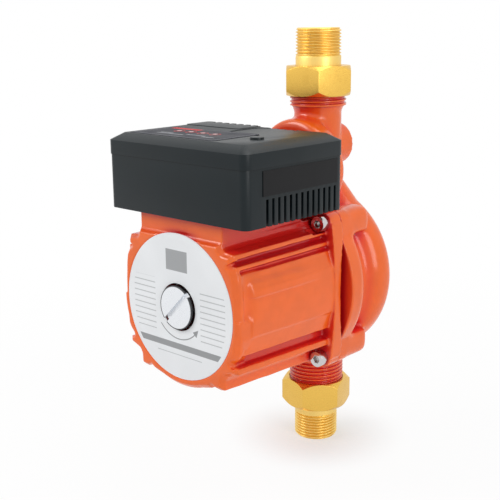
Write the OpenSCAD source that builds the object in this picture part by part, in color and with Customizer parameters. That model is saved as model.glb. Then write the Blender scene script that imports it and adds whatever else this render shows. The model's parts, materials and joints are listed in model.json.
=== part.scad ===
// In-line shower booster pump: a wet-rotor motor on a cast casing with brass unions.
// The pipe axis is Z, the motor axis lies along Y and its label faces -Y.
// The origin is the centre of the inlet tailpiece's end face.

/* [Ports] */
// Distance from the inlet port face to the outlet port face
port_span = 192; // [186:1:210]
// Height of the motor axis above the inlet port face
axis_rise = 80; // [80:1:86]
// Water way through the tailpieces; the ports behind them are a little wider
port_bore_d = 20; // [16:0.5:21]
// Outside diameter of the port threads, G1
port_thread_d = 33.25; // [33:0.05:34]
// Pitch of the port threads
port_pitch = 2.309; // [1.8:0.1:2.6]
// Threaded length of the outlet port
outlet_thread_len = 15; // [12:1:18]
// Threaded length of the inlet port
inlet_thread_len = 24; // [16:1:26]
// Diameter of the plain neck under the outlet thread
neck_d = 27.6; // [26:0.2:29]

/* [Unions] */
// Outside diameter of the tailpiece thread, three-quarter inch
tail_thread_d = 26.44; // [26:0.04:26.8]
// Pitch of the tailpiece thread
tail_pitch = 1.814; // [1.2:0.1:2]
// Tailpiece length outside the union nut
tail_exposed = 21.5; // [18:0.5:28]
// Threaded length of the tailpiece
tail_thread_len = 16.4; // [12:0.5:17]
// Diameter of the tailpiece's sealing collar
tail_collar_d = 29.4; // [28.8:0.1:29.6]
// Thickness of the tailpiece's sealing collar
tail_collar_t = 3; // [2:0.25:4]
// Thickness of the flat union washer
washer_t = 2; // [1.5:0.25:3]
// Union nut width across its flats
nut_af = 37; // [36.5:0.25:40]
// Union nut height
nut_h = 17; // [15:0.5:19]
// Thickness of the inward lip that pulls the tailpiece up
nut_lip_t = 3; // [2:0.25:4]

/* [Casing] */
// Radius of the round casing flange
ring_r = 53; // [51:0.5:55]
// Height of the casing flange between its flat top and bottom
ring_h = 87; // [86:0.5:90]
// Depth of the casing flange along the motor axis
ring_depth = 12; // [10:0.5:13]
// Distance from the pipe axis to the joint with the motor
joint_y = 34; // [33:0.5:36]
// Radius of the rounded volute behind the flange
volute_r = 51; // [49:0.5:52]
// Radius of the round section of the volute's rim
volute_round = 12; // [11:0.25:13]
// Radius of the waist between flange and volute
waist_r = 44; // [43:0.5:46]
// Half the square pitch of the four flange screws
screw_half = 38.5; // [38:0.25:39]
// Corner radius of the flanges
corner_r = 5.5; // [5:0.25:6.5]
// Impeller chamber radius
chamber_r = 38; // [37:0.25:38.5]
// Impeller chamber depth
chamber_depth = 16; // [15:0.5:17]
// Radius of the discharge hood on the front of the outlet neck
hood_r = 29; // [26:0.5:30]
// Height of the hood's centre above the motor axis
hood_rise = 62; // [60:0.5:64]

/* [Motor] */
// Motor length from the joint with the casing to the label face
motor_len = 82; // [80:0.5:86]
// Motor flange thickness at its corners
flange_t = 9; // [8:0.5:10]
// Half width of the ribbed housing at the label end
housing_half_w = 43.4; // [42:0.2:45]
// Radius of the round rim that carries the label
rim_r = 44.5; // [43.5:0.25:45]
// Housing size at the label end as a share of its size at the flange
draft_share = 0.956; // [0.94:0.004:0.97]
// Inside radius of the stator housing
stator_r = 36.4; // [35.5:0.1:36.6]
// Label disc radius
label_r = 39.6; // [38:0.2:40]
// Radius of the vent plug's head
plug_r = 11.8; // [11.2:0.1:12]
// Pitch of the vent plug's thread
plug_pitch = 1.5; // [1:0.25:2]
// Shaft diameter
shaft_d = 10; // [9:0.25:11]
// Rotor radius
rotor_r = 26; // [24:0.25:26.2]
// Length of the rotor and stator laminations
core_len = 38; // [34:1:40]
// Impeller radius
impeller_r = 35.5; // [33:0.5:36]

/* [Control box] */
// Width of the control box across the pump
box_w = 102; // [98:1:106]
// Depth of the control box along the motor axis
box_d = 76.5; // [74:0.5:78]
// Distance from the motor's label face to the front of the box
box_ahead = 1.5; // [0:0.25:3]
// Height of the box floor above the motor axis
box_rise = 47.7; // [47:0.1:50]
// Height of the box base
base_h = 29.2; // [27:0.2:32]
// Height of the lid's straight skirt
skirt_h = 7.6; // [6:0.2:9]
// Height of the lid's sloping edge
lid_chamfer = 3.7; // [3:0.1:4.2]
// Width of the lid's sloping edge
lid_slope = 6.2; // [4:0.2:8]
// Corner radius of the box
box_corner = 4.6; // [4:0.2:6]
// Wall thickness of the box
box_wall = 2.2; // [1.8:0.1:2.4]
// Number of cooling slots in each side
slot_count = 13; // [8:1:14]
// Distance between cooling slots
slot_pitch = 4.42; // [4:0.05:4.6]
// Width of a cooling slot
slot_w = 1.8; // [1.2:0.1:2.2]

/* [Hidden] */

$fn = 96;
// Facets of small fillets and of shapes that are only for show
fine_fn = 48;
hull_fn = 32;
arc_steps = 8;

// Overrun of every cut past the face that it opens
over = 1;
// Air between sliding or turning faces
run_gap = 0.05;
// Air between pieces that are dropped in place
fit_gap = 0.1;
// Air round a screw or between a piece and the hole it passes
loose_gap = 0.3;

// Heights along the pipe
inlet_face_z = tail_exposed + nut_lip_t + tail_collar_t + washer_t;
outlet_face_z = inlet_face_z + port_span;
axis_z = inlet_face_z + axis_rise;
pump_h = outlet_face_z + inlet_face_z;

// Depth of a fifty-five degree thread as a share of its pitch
thread_depth_share = 0.64;
// Flat on a thread's crest as a share of its pitch
crest_share = 0.22;

// Casing
lug_half = screw_half + corner_r;
// Rear ends of the four screw lugs and of the flange, measured from the pipe axis
lug_end_y = 7;
ring_end_y = joint_y - ring_depth;
casing_wall = 4.5;
lug_zone = 15;
inlet_neck_d = port_thread_d - 2 * port_pitch * thread_depth_share;
pipe_bore_step = 1;
pipe_bore_d = port_bore_d + pipe_bore_step;
shoulder_r = 30;
shoulder_base = 40;
shoulder_top = 57;
shoulder_bar_r = 11;
shoulder_lean = atan((shoulder_r - neck_d / 2) / (shoulder_top - shoulder_base));
thread_relief = 3;
neck_top = port_span - axis_rise - outlet_thread_len - shoulder_base;
// Turns the seams of round pieces away from the planes that they share
seam_turn = 25;
rear_boss_r = 12.6;
rear_boss_y = 18;
rear_boss_rise = 73.5;
hood_front_y = 24;
hood_back_y = 10;
hood_round = 2.5;
suction_r = 13;
eye_r = 13;
throat_r = 7;
throat_y = 13;
gasket_t = 1;
plate_t = 2;
plate_r = 42;
chamber_floor_y = joint_y - plate_t - gasket_t - chamber_depth;

// Non-return flap and its sensor
flap_rise = 82;
flap_t = 2;
flap_pin_d = 2;
flap_seat_r = 7;
flap_r = 8.2;
flap_chamber_r = 11;
flap_chamber_h = 20;
flap_ear_w = 6;
flap_knuckle_r = 1.9;
magnet_d = 6;
magnet_h = 3;
flap_stop_deg = 55;
sensor_d = 14;
sensor_rise = 63;
sensor_flange_d = 20;
sensor_flange_t = 2.5;

// Flange screws, M5 socket heads
screw_d = 5;
screw_head_d = 8.6;
screw_head_h = 5;
screw_key_d = 4.6;
screw_key_depth = 2.6;
screw_grip = 14;

// Motor housing
label_y = joint_y + motor_len;
flange_front_y = joint_y + flange_t;
flange_thin = 5;
flange_bow = 3.6;
flange_waist = 41;
plate_depth = 5;
plate_bevel = 2.8;
plate_face_share = 0.945;
groove_depth = 1.7;
pedestal_half_w = 30.5;
pedestal_front = 3;
pedestal_back = 9;
pad_inset = 5;
pad_proud = 1.2;
label_recess = 0.8;
label_t = 0.6;
front_wall = 8;
hub_hole_gap = 1.1;
hub_hole_r = plug_r + hub_hole_gap;
lead_hole_r = 6;
lead_hole_back = 22;
head_pocket = 11;

// Outline of the housing's right half: across as a share of housing_half_w, up as a share of rim_r.
// It starts under the pedestal and runs clockwise down to the bottom of the rim.
outline_shares = [
    [0.700, 0.860], [0.715, 0.800], [0.755, 0.765], [0.895, 0.750], [0.900, 0.690],
    [0.850, 0.665], [0.855, 0.630], [0.905, 0.600], [0.955, 0.530], [0.972, 0.440],
    [0.990, 0.220], [0.997, 0.000], [0.990, -0.200], [0.972, -0.400], [0.940, -0.455],
    [0.880, -0.515], [0.870, -0.570], [0.938, -0.600], [0.930, -0.640], [0.860, -0.665],
    [0.770, -0.700], [0.730, -0.765], [0.722, -0.885], [0.630, -0.895], [0.560, -0.865],
    [0.500, -0.905], [0.360, -0.940]
];
// The same for the body behind the front plate, whose grooves are deeper
body_shares = [
    [0.695, 0.860], [0.705, 0.810], [0.740, 0.775], [0.895, 0.755], [0.900, 0.700],
    [0.815, 0.690], [0.815, 0.640], [0.925, 0.618], [0.930, 0.575], [0.885, 0.560],
    [0.890, 0.530], [0.950, 0.515], [0.958, 0.300], [0.960, 0.000], [0.958, -0.300],
    [0.950, -0.430], [0.850, -0.450], [0.850, -0.545], [0.955, -0.570], [0.955, -0.640],
    [0.860, -0.665], [0.770, -0.700], [0.730, -0.765], [0.722, -0.885], [0.630, -0.895],
    [0.560, -0.830], [0.470, -0.860], [0.440, -0.915], [0.390, -0.915], [0.350, -0.885]
];
// Outline of the raised side pad
pad_shares = [
    [0.900, 0.500], [0.955, 0.470], [1.000, 0.345], [1.012, 0.330], [1.022, 0.180],
    [1.026, 0.050], [1.022, -0.080], [1.010, -0.215], [0.996, -0.230], [0.955, -0.400],
    [0.900, -0.410]
];

// Rotor, can and bearings
can_t = 0.5;
can_gap = 0.45;
can_r = rotor_r + can_gap + can_t;
can_flange_r = 33;
can_end_gap = 3;
can_end_y = label_y - front_wall - can_end_gap;
winding_len = 10;
winding_r = stator_r - 2;
core_inset = 19;
core_y = joint_y + core_inset;
bearing_r = 9;
bearing_len = 12;
hub_r = 13;
nipple_r = 12;
nipple_bore_r = 8.2;
nipple_inset = 4.5;
nipple_end_y = label_y - nipple_inset;
plug_shank_r = nipple_bore_r - 2 * fit_gap;
plug_head_t = 4.5;
plug_slot_w = 2.6;
plug_slot_depth = 2.2;
plug_seal_w = 1.6;
plug_shank_len = 6;
slot_n = 12;
tooth_slot_r = 3;
shaft_tip_inset = 13;
shaft_tip_y = label_y - shaft_tip_inset;
shaft_end_y = 15;

// Impeller, between the bearing plate and the suction eye
impeller_front_gap = 2.2;
impeller_back_gap = 1.6;
impeller_front_y = joint_y - plate_t - impeller_front_gap;
impeller_back_y = chamber_floor_y + impeller_back_gap;
disc_t = 1.8;
vane_n = 6;
vane_t = 2;
vane_inner_r = 15;
vane_bend_r = 30;
vane_side_share = 0.2;
vane_drop_share = 0.9;
impeller_hub_r = 8;
eye_lip_r = 11;
ring_t = 1.5;

// Control box
box_front_y = label_y + box_ahead;
box_mid_y = box_front_y - box_d / 2;
box_back_y = box_front_y - box_d;
base_inset = 0.4;
floor_z = axis_z + box_rise;
seam_z = floor_z + base_h;
lid_top_z = seam_z + skirt_h + lid_chamfer;
floor_t = 2.4;
slot_h = 13.6;
slot_back = 42.3;
vent_count = 15;
vent_w = 2.6;
vent_pitch = 5.6;
vent_d = 7;
film_margin = 19;
film_w = box_w - 2 * film_margin;
film_d = 35;
film_r = 2;
film_t = 0.3;
film_front = 8;
film_side = 10;
// Shallow pad beside the film and the low step behind it
pad_w = 30;
pad_d = 34;
pad_r = 8;
pad_x = 13;
pad_y = 15.5;
step_w = 42;
step_d = 19;
step_x = -25;
step_y = 25;
plate_margin = 6.5;
plate_high = 12.6;
plate_thick = 0.35;
plate_rise = 15.3;
plate_back = 6;
plate_len = box_d - 2 * plate_back - plate_margin;
lip_h = 2;
lip_t = 1.2;
sensor_hole_gap = 0.4;

// Pieces inside the box
board_margin = 7;
board_w = box_w - 2 * board_margin;
board_d = box_d - 2 * board_margin;
board_t = 1.6;
board_drop = 4;
board_post_r = 3;
cap_r = 10;
cap_len = 32;
block_w = 30;
block_d = 12;
block_h = 14;
block_poles = 3;
box_screw_d = 4;
box_screw_head_d = 7.4;
box_screw_head_h = 2.6;
box_screw_len = 12;
box_screw_span = 26;
lead_d = 1.8;
lead_pitch = 3.6;
grommet_t = 1.6;

// Button and lenses under the film's front edge
button_d = 7;
button_travel = 0.8;
button_proud = 1;
button_stem_d = 3;
button_rim_d = 9;
button_rim_t = 0.8;
button_inset = 18;
spring_d = 6;
spring_wire = 0.6;
spring_turns = 4;
lens_d = 3;
lens_count = 4;
lens_pitch = 9;
lens_proud = 0.3;
controls_front = 28;

// Cable gland
gland_thread_d = 16;
gland_flange_d = 21;
gland_flange_t = 3;
gland_nut_af = 20;
gland_nut_len = 12;
gland_wall_t = 3;
gland_reach = 10;
gland_bore_d = 9;
gland_seal_d = 7;
gland_seal_r = 5.6;
gland_back = 24;
gland_rise = 15;

// A point list along an arc
function arc(c, r, a0, a1, n = arc_steps) =
    [for (i = [0:n]) c + r * [cos(a0 + (a1 - a0) * i / n), sin(a0 + (a1 - a0) * i / n)]];

// A rectangle with round corners, centred
function round_rect(w, h, r) = concat(
    arc([w / 2 - r, h / 2 - r], r, 0, 90),
    arc([r - w / 2, h / 2 - r], r, 90, 180),
    arc([r - w / 2, r - h / 2], r, 180, 270),
    arc([w / 2 - r, r - h / 2], r, 270, 360)
);

// Half an outline in shares, made whole by its mirror image
function mirrored(pts, sx, sy) = concat(
    [for (p = pts) [p[0] * sx, p[1] * sy]],
    [for (i = [len(pts) - 1:-1:0]) [-pts[i][0] * sx, pts[i][1] * sy]]
);

// Profile of a round bar with ring grooves of thread form from z = 0 to z = h
function thread_profile(d, pitch, h) =
    let (n = round(h / pitch), p = h / n, deep = pitch * thread_depth_share, r = d / 2,
         half = pitch * crest_share / 2)
    concat(
        [[0, 0], [r - deep, 0]],
        [for (i = [0:n - 1]) each [[r, (i + 0.5) * p - half], [r, (i + 0.5) * p + half],
                                   [r - deep, (i + 1) * p]]],
        [[0, h]]
    );

module threaded_bar(d, pitch, h) {
    rotate_extrude() polygon(thread_profile(d, pitch, h));
}

// Children drawn in X and Z on the motor axis are extruded towards the label
module on_axis(y, rise = 0) {
    translate([0, -y, axis_z + rise]) rotate([90, 0, 0]) children();
}

// A disc or ring on the motor axis from depth y0 to depth y1
module axis_ring(y0, y1, r, bore = 0, rise = 0) {
    on_axis(y0, rise) difference() {
        cylinder(r = r, h = y1 - y0);
        if (bore > 0) translate([0, 0, -over]) cylinder(r = bore, h = y1 - y0 + 2 * over);
    }
}

module at_screws() {
    for (sx = [-1, 1], sz = [-1, 1]) translate([sx * screw_half, sz * screw_half, 0]) children();
}

module casing_outline() {
    intersection() {
        circle(r = ring_r);
        square([2 * ring_r, ring_h], center = true);
    }
    polygon(round_rect(2 * lug_half, 2 * lug_half, corner_r));
}

module casing_body() {
    on_axis(ring_end_y) linear_extrude(ring_depth) casing_outline();
    // Screw lugs reach back past the flange
    on_axis(lug_end_y) linear_extrude(ring_depth + ring_end_y - lug_end_y) intersection() {
        polygon(round_rect(2 * lug_half, 2 * lug_half, corner_r));
        for (sx = [-1, 1], sz = [-1, 1])
            translate([sx * lug_half, sz * lug_half]) square(2 * lug_zone, center = true);
    }
    // Waist and rounded volute
    axis_ring(lug_end_y, joint_y - casing_wall, waist_r);
    on_axis(0) rotate_extrude() polygon(concat(
        [[0, -volute_round]],
        arc([volute_r - volute_round, 0], volute_round, -90, 90, 2 * arc_steps + 1),
        [[0, volute_round]]
    ));
    // Inlet side of the pipe, closed by a round end behind the impeller eye
    rotate([0, 0, seam_turn]) {
        translate([0, 0, inlet_face_z]) threaded_bar(port_thread_d, port_pitch, inlet_thread_len);
        translate([0, 0, inlet_face_z + inlet_thread_len - over]) rotate_extrude() polygon(concat(
            [[0, 0], [inlet_neck_d / 2, 0]],
            arc([0, axis_rise - inlet_thread_len - over], inlet_neck_d / 2, 0, 90)
        ));
    }
    // Outlet side of the pipe with its shoulder
    rotate([0, 0, seam_turn]) {
        translate([0, 0, outlet_face_z - outlet_thread_len])
            threaded_bar(port_thread_d, port_pitch, outlet_thread_len);
        translate([0, 0, axis_z + shoulder_base]) rotate_extrude() polygon([
            [0, 0], [neck_d / 2, 0], [neck_d / 2, neck_top - thread_relief],
            [inlet_neck_d / 2, neck_top], [0, neck_top]
        ]);
    }
    // Two slanting bars make the shoulders between the volute and the neck
    for (s = [-1, 1]) translate([
        s * (shoulder_r - shoulder_bar_r * cos(shoulder_lean)), 0,
        axis_z + shoulder_base - shoulder_bar_r * sin(shoulder_lean)
    ]) rotate([0, -s * shoulder_lean, 0]) cylinder(
        r = shoulder_bar_r,
        h = (shoulder_r - shoulder_bar_r * cos(shoulder_lean)) / sin(shoulder_lean)
    );
    // Discharge hood in front of the neck and the boss behind it
    on_axis(hood_back_y, hood_rise) rotate_extrude() polygon(concat(
        [[0, 0], [hood_r, 0]],
        arc([hood_r - hood_round, hood_front_y - hood_back_y - hood_round], hood_round, 0, 90),
        [[0, hood_front_y - hood_back_y]]
    ));
    on_axis(-rear_boss_y, rear_boss_rise) cylinder(r = rear_boss_r, h = rear_boss_y);
}

module casing() {
    color([0.91, 0.40, 0.16]) difference() {
        casing_body();
        // Suction passage and impeller eye
        translate([0, 0, inlet_face_z - over]) cylinder(d = pipe_bore_d, h = axis_rise + over);
        translate([0, 0, axis_z]) sphere(r = suction_r);
        axis_ring(0, joint_y, eye_r);
        // Impeller chamber and the seat of gasket and bearing plate
        axis_ring(chamber_floor_y, joint_y, chamber_r);
        axis_ring(joint_y - plate_t - gasket_t, joint_y + over, plate_r + fit_gap);
        // Discharge passage: throat, hood chamber, flap chamber and outlet bore
        translate([0, -throat_y, axis_z + chamber_r - casing_wall])
            cylinder(r = throat_r, h = hood_rise - chamber_r + casing_wall);
        axis_ring(hood_back_y + hood_round, hood_front_y - casing_wall, suction_r, 0, hood_rise);
        axis_ring(0, hood_back_y + casing_wall, flap_seat_r, 0, hood_rise);
        translate([0, 0, axis_z + hood_rise]) cylinder(r = flap_seat_r, h = flap_rise - hood_rise + over);
        translate([0, 0, axis_z + flap_rise]) cylinder(r = flap_chamber_r, h = flap_chamber_h);
        translate([0, 0, axis_z + flap_rise + flap_chamber_h - over])
            cylinder(d = pipe_bore_d, h = port_span - axis_rise - flap_rise);
        // Tapped holes for the flange screws and the seat of the flow sensor
        on_axis(joint_y - screw_grip - over)
            at_screws() cylinder(d = screw_d + 2 * fit_gap, h = screw_grip + 2 * over);
        axis_ring(hood_front_y - 2 * casing_wall, hood_front_y + over, sensor_d / 2 + fit_gap, 0,
                  sensor_rise);
        flap_pin_shape();
    }
}

module neck_ring() {
    color("goldenrod")
        axis_ring(chamber_floor_y - casing_wall, chamber_floor_y, eye_r, eye_r - ring_t);
}

module casing_gasket() {
    color([0.1, 0.1, 0.1])
        axis_ring(joint_y - plate_t - gasket_t, joint_y - plate_t, plate_r, chamber_r + ring_t);
}

// Tailpiece standing on its threaded end, the collar on top
module tail() {
    color([0.85, 0.68, 0.32]) difference() {
        union() {
            threaded_bar(tail_thread_d, tail_pitch, tail_thread_len);
            translate([0, 0, tail_thread_len - over])
                cylinder(d = tail_thread_d, h = inlet_face_z - washer_t - tail_thread_len + over);
            translate([0, 0, tail_exposed + nut_lip_t]) cylinder(d = tail_collar_d, h = tail_collar_t);
        }
        translate([0, 0, -over]) cylinder(d = port_bore_d, h = inlet_face_z + 2 * over);
    }
}

module washer() {
    color([0.12, 0.12, 0.12]) difference() {
        cylinder(d = tail_collar_d, h = washer_t);
        translate([0, 0, -over]) cylinder(d = pipe_bore_d, h = washer_t + 2 * over);
    }
}

// Union nut with its lip at the bottom and both ends turned to a cone
module nut(turn) {
    corner = nut_af / sqrt(3);
    bevel = corner - nut_af / 2;
    color([0.88, 0.72, 0.36]) difference() {
        intersection() {
            rotate([0, 0, turn]) cylinder(r = corner, h = nut_h, $fn = 6);
            rotate_extrude() polygon([
                [0, 0], [nut_af / 2 - run_gap, 0], [corner + run_gap, bevel],
                [corner + run_gap, nut_h - bevel], [nut_af / 2 - run_gap, nut_h], [0, nut_h]
            ]);
        }
        translate([0, 0, -over]) cylinder(d = tail_thread_d + 2 * loose_gap, h = nut_h + 2 * over);
        translate([0, 0, nut_lip_t]) cylinder(d = port_thread_d + 2 * fit_gap, h = nut_h);
    }
}

// Moves a piece drawn at the inlet to the outlet, turned over
module at_outlet() {
    translate([0, 0, pump_h]) mirror([0, 0, 1]) children();
}

// Corner directions of the two nuts as the photograph shows them
inlet_turn = -13.5;
outlet_turn = -50.5;

module inlet_tail() {
    tail();
}

module outlet_tail() {
    at_outlet() tail();
}

module inlet_washer() {
    translate([0, 0, inlet_face_z - washer_t]) washer();
}

module outlet_washer() {
    at_outlet() translate([0, 0, inlet_face_z - washer_t]) washer();
}

module inlet_nut() {
    translate([0, 0, tail_exposed - run_gap]) nut(inlet_turn);
}

module outlet_nut() {
    at_outlet() translate([0, 0, tail_exposed - run_gap]) nut(outlet_turn);
}

// The flap lies shut on its seat and swings up about a pin at the back of the neck
flap_hinge_y = flap_seat_r + loose_gap;
flap_hinge_z = axis_z + flap_rise + flap_t + flap_pin_d / 2;

module flow_flap() {
    color([0.75, 0.76, 0.78]) difference() {
        union() {
            translate([0, 0, axis_z + flap_rise + run_gap]) {
                intersection() {
                    cylinder(r = flap_r, h = flap_t);
                    translate([-flap_r, -flap_r, 0]) cube([2 * flap_r, flap_r + flap_hinge_y, flap_t]);
                }
                translate([0, -flap_seat_r / 2, flap_t - fit_gap]) cylinder(d = magnet_d, h = magnet_h);
            }
            translate([-flap_ear_w / 2, flap_hinge_y, flap_hinge_z]) rotate([0, 90, 0])
                cylinder(r = flap_knuckle_r, h = flap_ear_w);
        }
        translate([-flap_ear_w, flap_hinge_y, flap_hinge_z]) rotate([0, 90, 0])
            cylinder(d = flap_pin_d + 2 * run_gap, h = 2 * flap_ear_w);
    }
}

// The pin is pressed into a blind hole in each side of the flap chamber
module flap_pin_shape() {
    reach = sqrt(pow(flap_chamber_r, 2) - pow(flap_hinge_y, 2)) + flap_pin_d;
    translate([-reach, flap_hinge_y, flap_hinge_z]) rotate([0, 90, 0])
        cylinder(d = flap_pin_d, h = 2 * reach);
}

module flap_pin() {
    color("silver") flap_pin_shape();
}

// The reed sensor sits in the hood and reaches through the back wall of the box
module flow_sensor() {
    color([0.15, 0.15, 0.16]) {
        axis_ring(hood_front_y - 2 * casing_wall, box_back_y + box_wall + sensor_flange_t,
                  sensor_d / 2, 0, sensor_rise);
        axis_ring(hood_front_y, hood_front_y + sensor_flange_t, sensor_flange_d / 2, 0, sensor_rise);
    }
}

module flange_outline() {
    bow_r = (pow(flange_bow, 2) + pow(lug_half, 2)) / (2 * flange_bow);
    polygon(round_rect(2 * lug_half, 2 * lug_half, corner_r));
    for (s = [-1, 1]) intersection() {
        translate([s * (lug_half + flange_bow - bow_r), 0]) circle(r = bow_r, $fn = 2 * $fn);
        translate([s * lug_half / 2, 0]) square([lug_half + 2 * flange_bow, 2 * screw_half], center = true);
    }
}

// Half of the tall ribbed shape of the motor, solid
module housing_shape() {
    // Flange, thinner along its sides where the casing's round flange stands past it
    relief = flange_t - flange_thin;
    scoop_r = (pow(relief, 2) + pow(screw_half - lug_zone / 2, 2)) / (2 * relief);
    difference() {
        on_axis(joint_y) linear_extrude(flange_t) flange_outline();
        for (s = [-1, 1])
            translate([s * (flange_waist + lug_half), -joint_y - relief + scoop_r, axis_z])
                rotate([0, 90, 0])
                    cylinder(r = scoop_r, h = 2 * lug_half, center = true, $fn = 2 * $fn);
    }
    // Ribbed body with its casting draft
    on_axis(flange_front_y - over) linear_extrude(label_y - plate_depth / 2 - flange_front_y + over,
                                                  scale = draft_share)
        polygon(mirrored(body_shares, housing_half_w / draft_share, rim_r / draft_share));
    on_axis(flange_front_y - over) linear_extrude(
            label_y - plate_depth - pad_inset - flange_front_y + over, scale = draft_share)
        for (s = [0, 1]) mirror([s, 0, 0])
            polygon([for (p = pad_shares)
                [p[0] * (housing_half_w / draft_share), p[1] * rim_r / draft_share]]);
    // Front plate with its sloping edge and the round rim of the label
    on_axis(label_y - plate_depth) linear_extrude(plate_depth - plate_bevel)
        polygon(mirrored(outline_shares, housing_half_w, rim_r));
    on_axis(label_y - plate_bevel) linear_extrude(plate_bevel, scale = plate_face_share)
        polygon(mirrored(outline_shares, housing_half_w, rim_r));
    intersection() {
        on_axis(label_y - 2 * plate_depth) {
            cylinder(r = rim_r, h = 2 * plate_depth - plate_bevel);
            translate([0, 0, 2 * plate_depth - plate_bevel])
                cylinder(r1 = rim_r, r2 = rim_r * plate_face_share, h = plate_bevel);
        }
        on_axis(label_y - 3 * plate_depth)
            translate([-housing_half_w, -rim_r - over, 0])
                cube([2 * housing_half_w, rim_r + over, 4 * plate_depth]);
    }
    // Pedestal of the control box
    translate([-pedestal_half_w, pedestal_front - label_y, axis_z + rim_r / 2]) cube([
        2 * pedestal_half_w, motor_len - flange_t - pedestal_front - pedestal_back, box_rise - rim_r / 2
    ]);
}

module motor_housing() {
    color([0.91, 0.40, 0.16]) difference() {
        housing_shape();
        // Stator bore, front opening and label seat
        axis_ring(joint_y - over, label_y - front_wall, stator_r);
        axis_ring(joint_y, label_y + over, hub_hole_r);
        axis_ring(label_y - label_recess, label_y + over, label_r + loose_gap);
        // Holes and head pockets of the flange screws
        on_axis(joint_y - over) at_screws() {
            cylinder(d = screw_d + 2 * loose_gap, h = flange_t + 2 * over);
            translate([0, 0, flange_t + over]) cylinder(d = screw_head_d + 4 * loose_gap, h = head_pocket);
        }
        // Lead duct and the two holes of the box screws
        translate([0, -label_y + lead_hole_back, axis_z]) cylinder(r = lead_hole_r, h = 2 * box_rise);
        for (s = [-1, 1]) translate([0, -label_y + lead_hole_back + s * box_screw_span / 2,
                                     floor_z - box_screw_len + floor_t])
            cylinder(d = box_screw_d + 2 * fit_gap, h = box_screw_len);
    }
}

module flange_screws() {
    color([0.82, 0.82, 0.84]) on_axis(flange_front_y) at_screws() difference() {
        union() {
            cylinder(d = screw_head_d, h = screw_head_h);
            translate([0, 0, -flange_t - screw_grip]) cylinder(d = screw_d, h = flange_t + screw_grip + over);
        }
        translate([0, 0, screw_head_h - screw_key_depth])
            cylinder(d = screw_key_d, h = screw_key_depth + over, $fn = 6);
    }
}

module rating_disc() {
    color([0.90, 0.91, 0.92])
        axis_ring(label_y - label_recess, label_y - label_recess + label_t, label_r, hub_hole_r);
}

module vent_plug() {
    color([0.93, 0.94, 0.95]) difference() {
        union() {
            axis_ring(nipple_end_y + plug_seal_w, nipple_end_y + plug_seal_w + plug_head_t, plug_r);
            axis_ring(nipple_end_y - plug_shank_len, nipple_end_y + plug_seal_w + over, plug_shank_r);
        }
        on_axis(nipple_end_y + plug_seal_w + plug_head_t - plug_slot_depth) rotate([0, 0, 45])
            translate([-2 * plug_r, -plug_slot_w / 2, 0])
                cube([4 * plug_r, plug_slot_w, plug_slot_depth + over]);
    }
}

module vent_plug_seal() {
    color([0.1, 0.1, 0.1]) on_axis(nipple_end_y + run_gap) difference() {
        cylinder(r = plug_r - plug_seal_w / 2, h = plug_seal_w - 2 * run_gap);
        translate([0, 0, -over]) cylinder(r = plug_shank_r + loose_gap, h = plug_seal_w + 2 * over);
    }
}

module bearing_plate() {
    color([0.78, 0.79, 0.80]) {
        axis_ring(joint_y - plate_t, joint_y, plate_r, hub_r - ring_t);
        axis_ring(joint_y - plate_t, joint_y + bearing_len, hub_r, bearing_r);
        axis_ring(joint_y - plate_t, joint_y + can_t + ring_t, can_r - can_t - fit_gap, can_r - 2 * ring_t);
    }
}

module front_bearing() {
    color([0.35, 0.33, 0.32])
        axis_ring(joint_y, joint_y + bearing_len, bearing_r, shaft_d / 2 + run_gap);
}

module rotor_can() {
    color([0.80, 0.81, 0.82]) {
        axis_ring(joint_y, joint_y + can_t, can_flange_r, can_r - can_t);
        axis_ring(joint_y, can_end_y, can_r, can_r - can_t);
        axis_ring(can_end_y - can_t, can_end_y, can_r, nipple_r - ring_t);
        axis_ring(can_end_y - bearing_len, nipple_end_y, nipple_r, nipple_bore_r + 2 * can_t);
        axis_ring(can_end_y, nipple_end_y, nipple_r, nipple_bore_r);
    }
}

module rear_bearing() {
    color([0.35, 0.33, 0.32]) axis_ring(can_end_y - bearing_len, can_end_y - run_gap,
                                        nipple_bore_r + 2 * can_t, shaft_d / 2 + run_gap);
}

module stator_core() {
    color([0.45, 0.45, 0.47]) on_axis(core_y) linear_extrude(core_len) difference() {
        circle(r = stator_r);
        circle(r = can_r + fit_gap);
        for (i = [0:slot_n - 1]) rotate([0, 0, i * 360 / slot_n])
            translate([(stator_r + can_r) / 2, 0]) circle(r = tooth_slot_r, $fn = fine_fn);
    }
}

module stator_windings() {
    color([0.72, 0.40, 0.18]) {
        axis_ring(core_y - winding_len, core_y, winding_r, can_r + ring_t);
        axis_ring(core_y + core_len, core_y + core_len + winding_len, winding_r, can_r + ring_t);
    }
}

module rotor_core() {
    color([0.60, 0.60, 0.62]) axis_ring(core_y, core_y + core_len, rotor_r, shaft_d / 2);
}

module shaft() {
    color([0.85, 0.85, 0.86]) axis_ring(shaft_end_y, shaft_tip_y, shaft_d / 2);
}

module thrust_washer() {
    color([0.25, 0.24, 0.24])
        axis_ring(impeller_front_y, joint_y - run_gap, bearing_r - ring_t, shaft_d / 2);
}

// One backward-curved vane: a stretch of a thin ring between the hub and the rim
module vane() {
    intersection() {
        difference() {
            circle(r = impeller_r - fit_gap);
            circle(r = vane_inner_r);
        }
        translate([vane_inner_r - vane_bend_r * vane_side_share, -vane_bend_r * vane_drop_share]) difference() {
            circle(r = vane_bend_r);
            circle(r = vane_bend_r - vane_t);
        }
        square([2 * impeller_r, 2 * impeller_r]);
    }
}

module impeller() {
    color([0.86, 0.84, 0.78]) {
        axis_ring(impeller_front_y - disc_t, impeller_front_y, impeller_r, shaft_d / 2);
        axis_ring(impeller_back_y + disc_t, impeller_front_y, impeller_hub_r, shaft_d / 2);
        on_axis(impeller_back_y + disc_t) linear_extrude(impeller_front_y - impeller_back_y - 1.5 * disc_t)
            for (i = [0:vane_n - 1]) rotate([0, 0, i * 360 / vane_n]) vane();
    }
}

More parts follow.
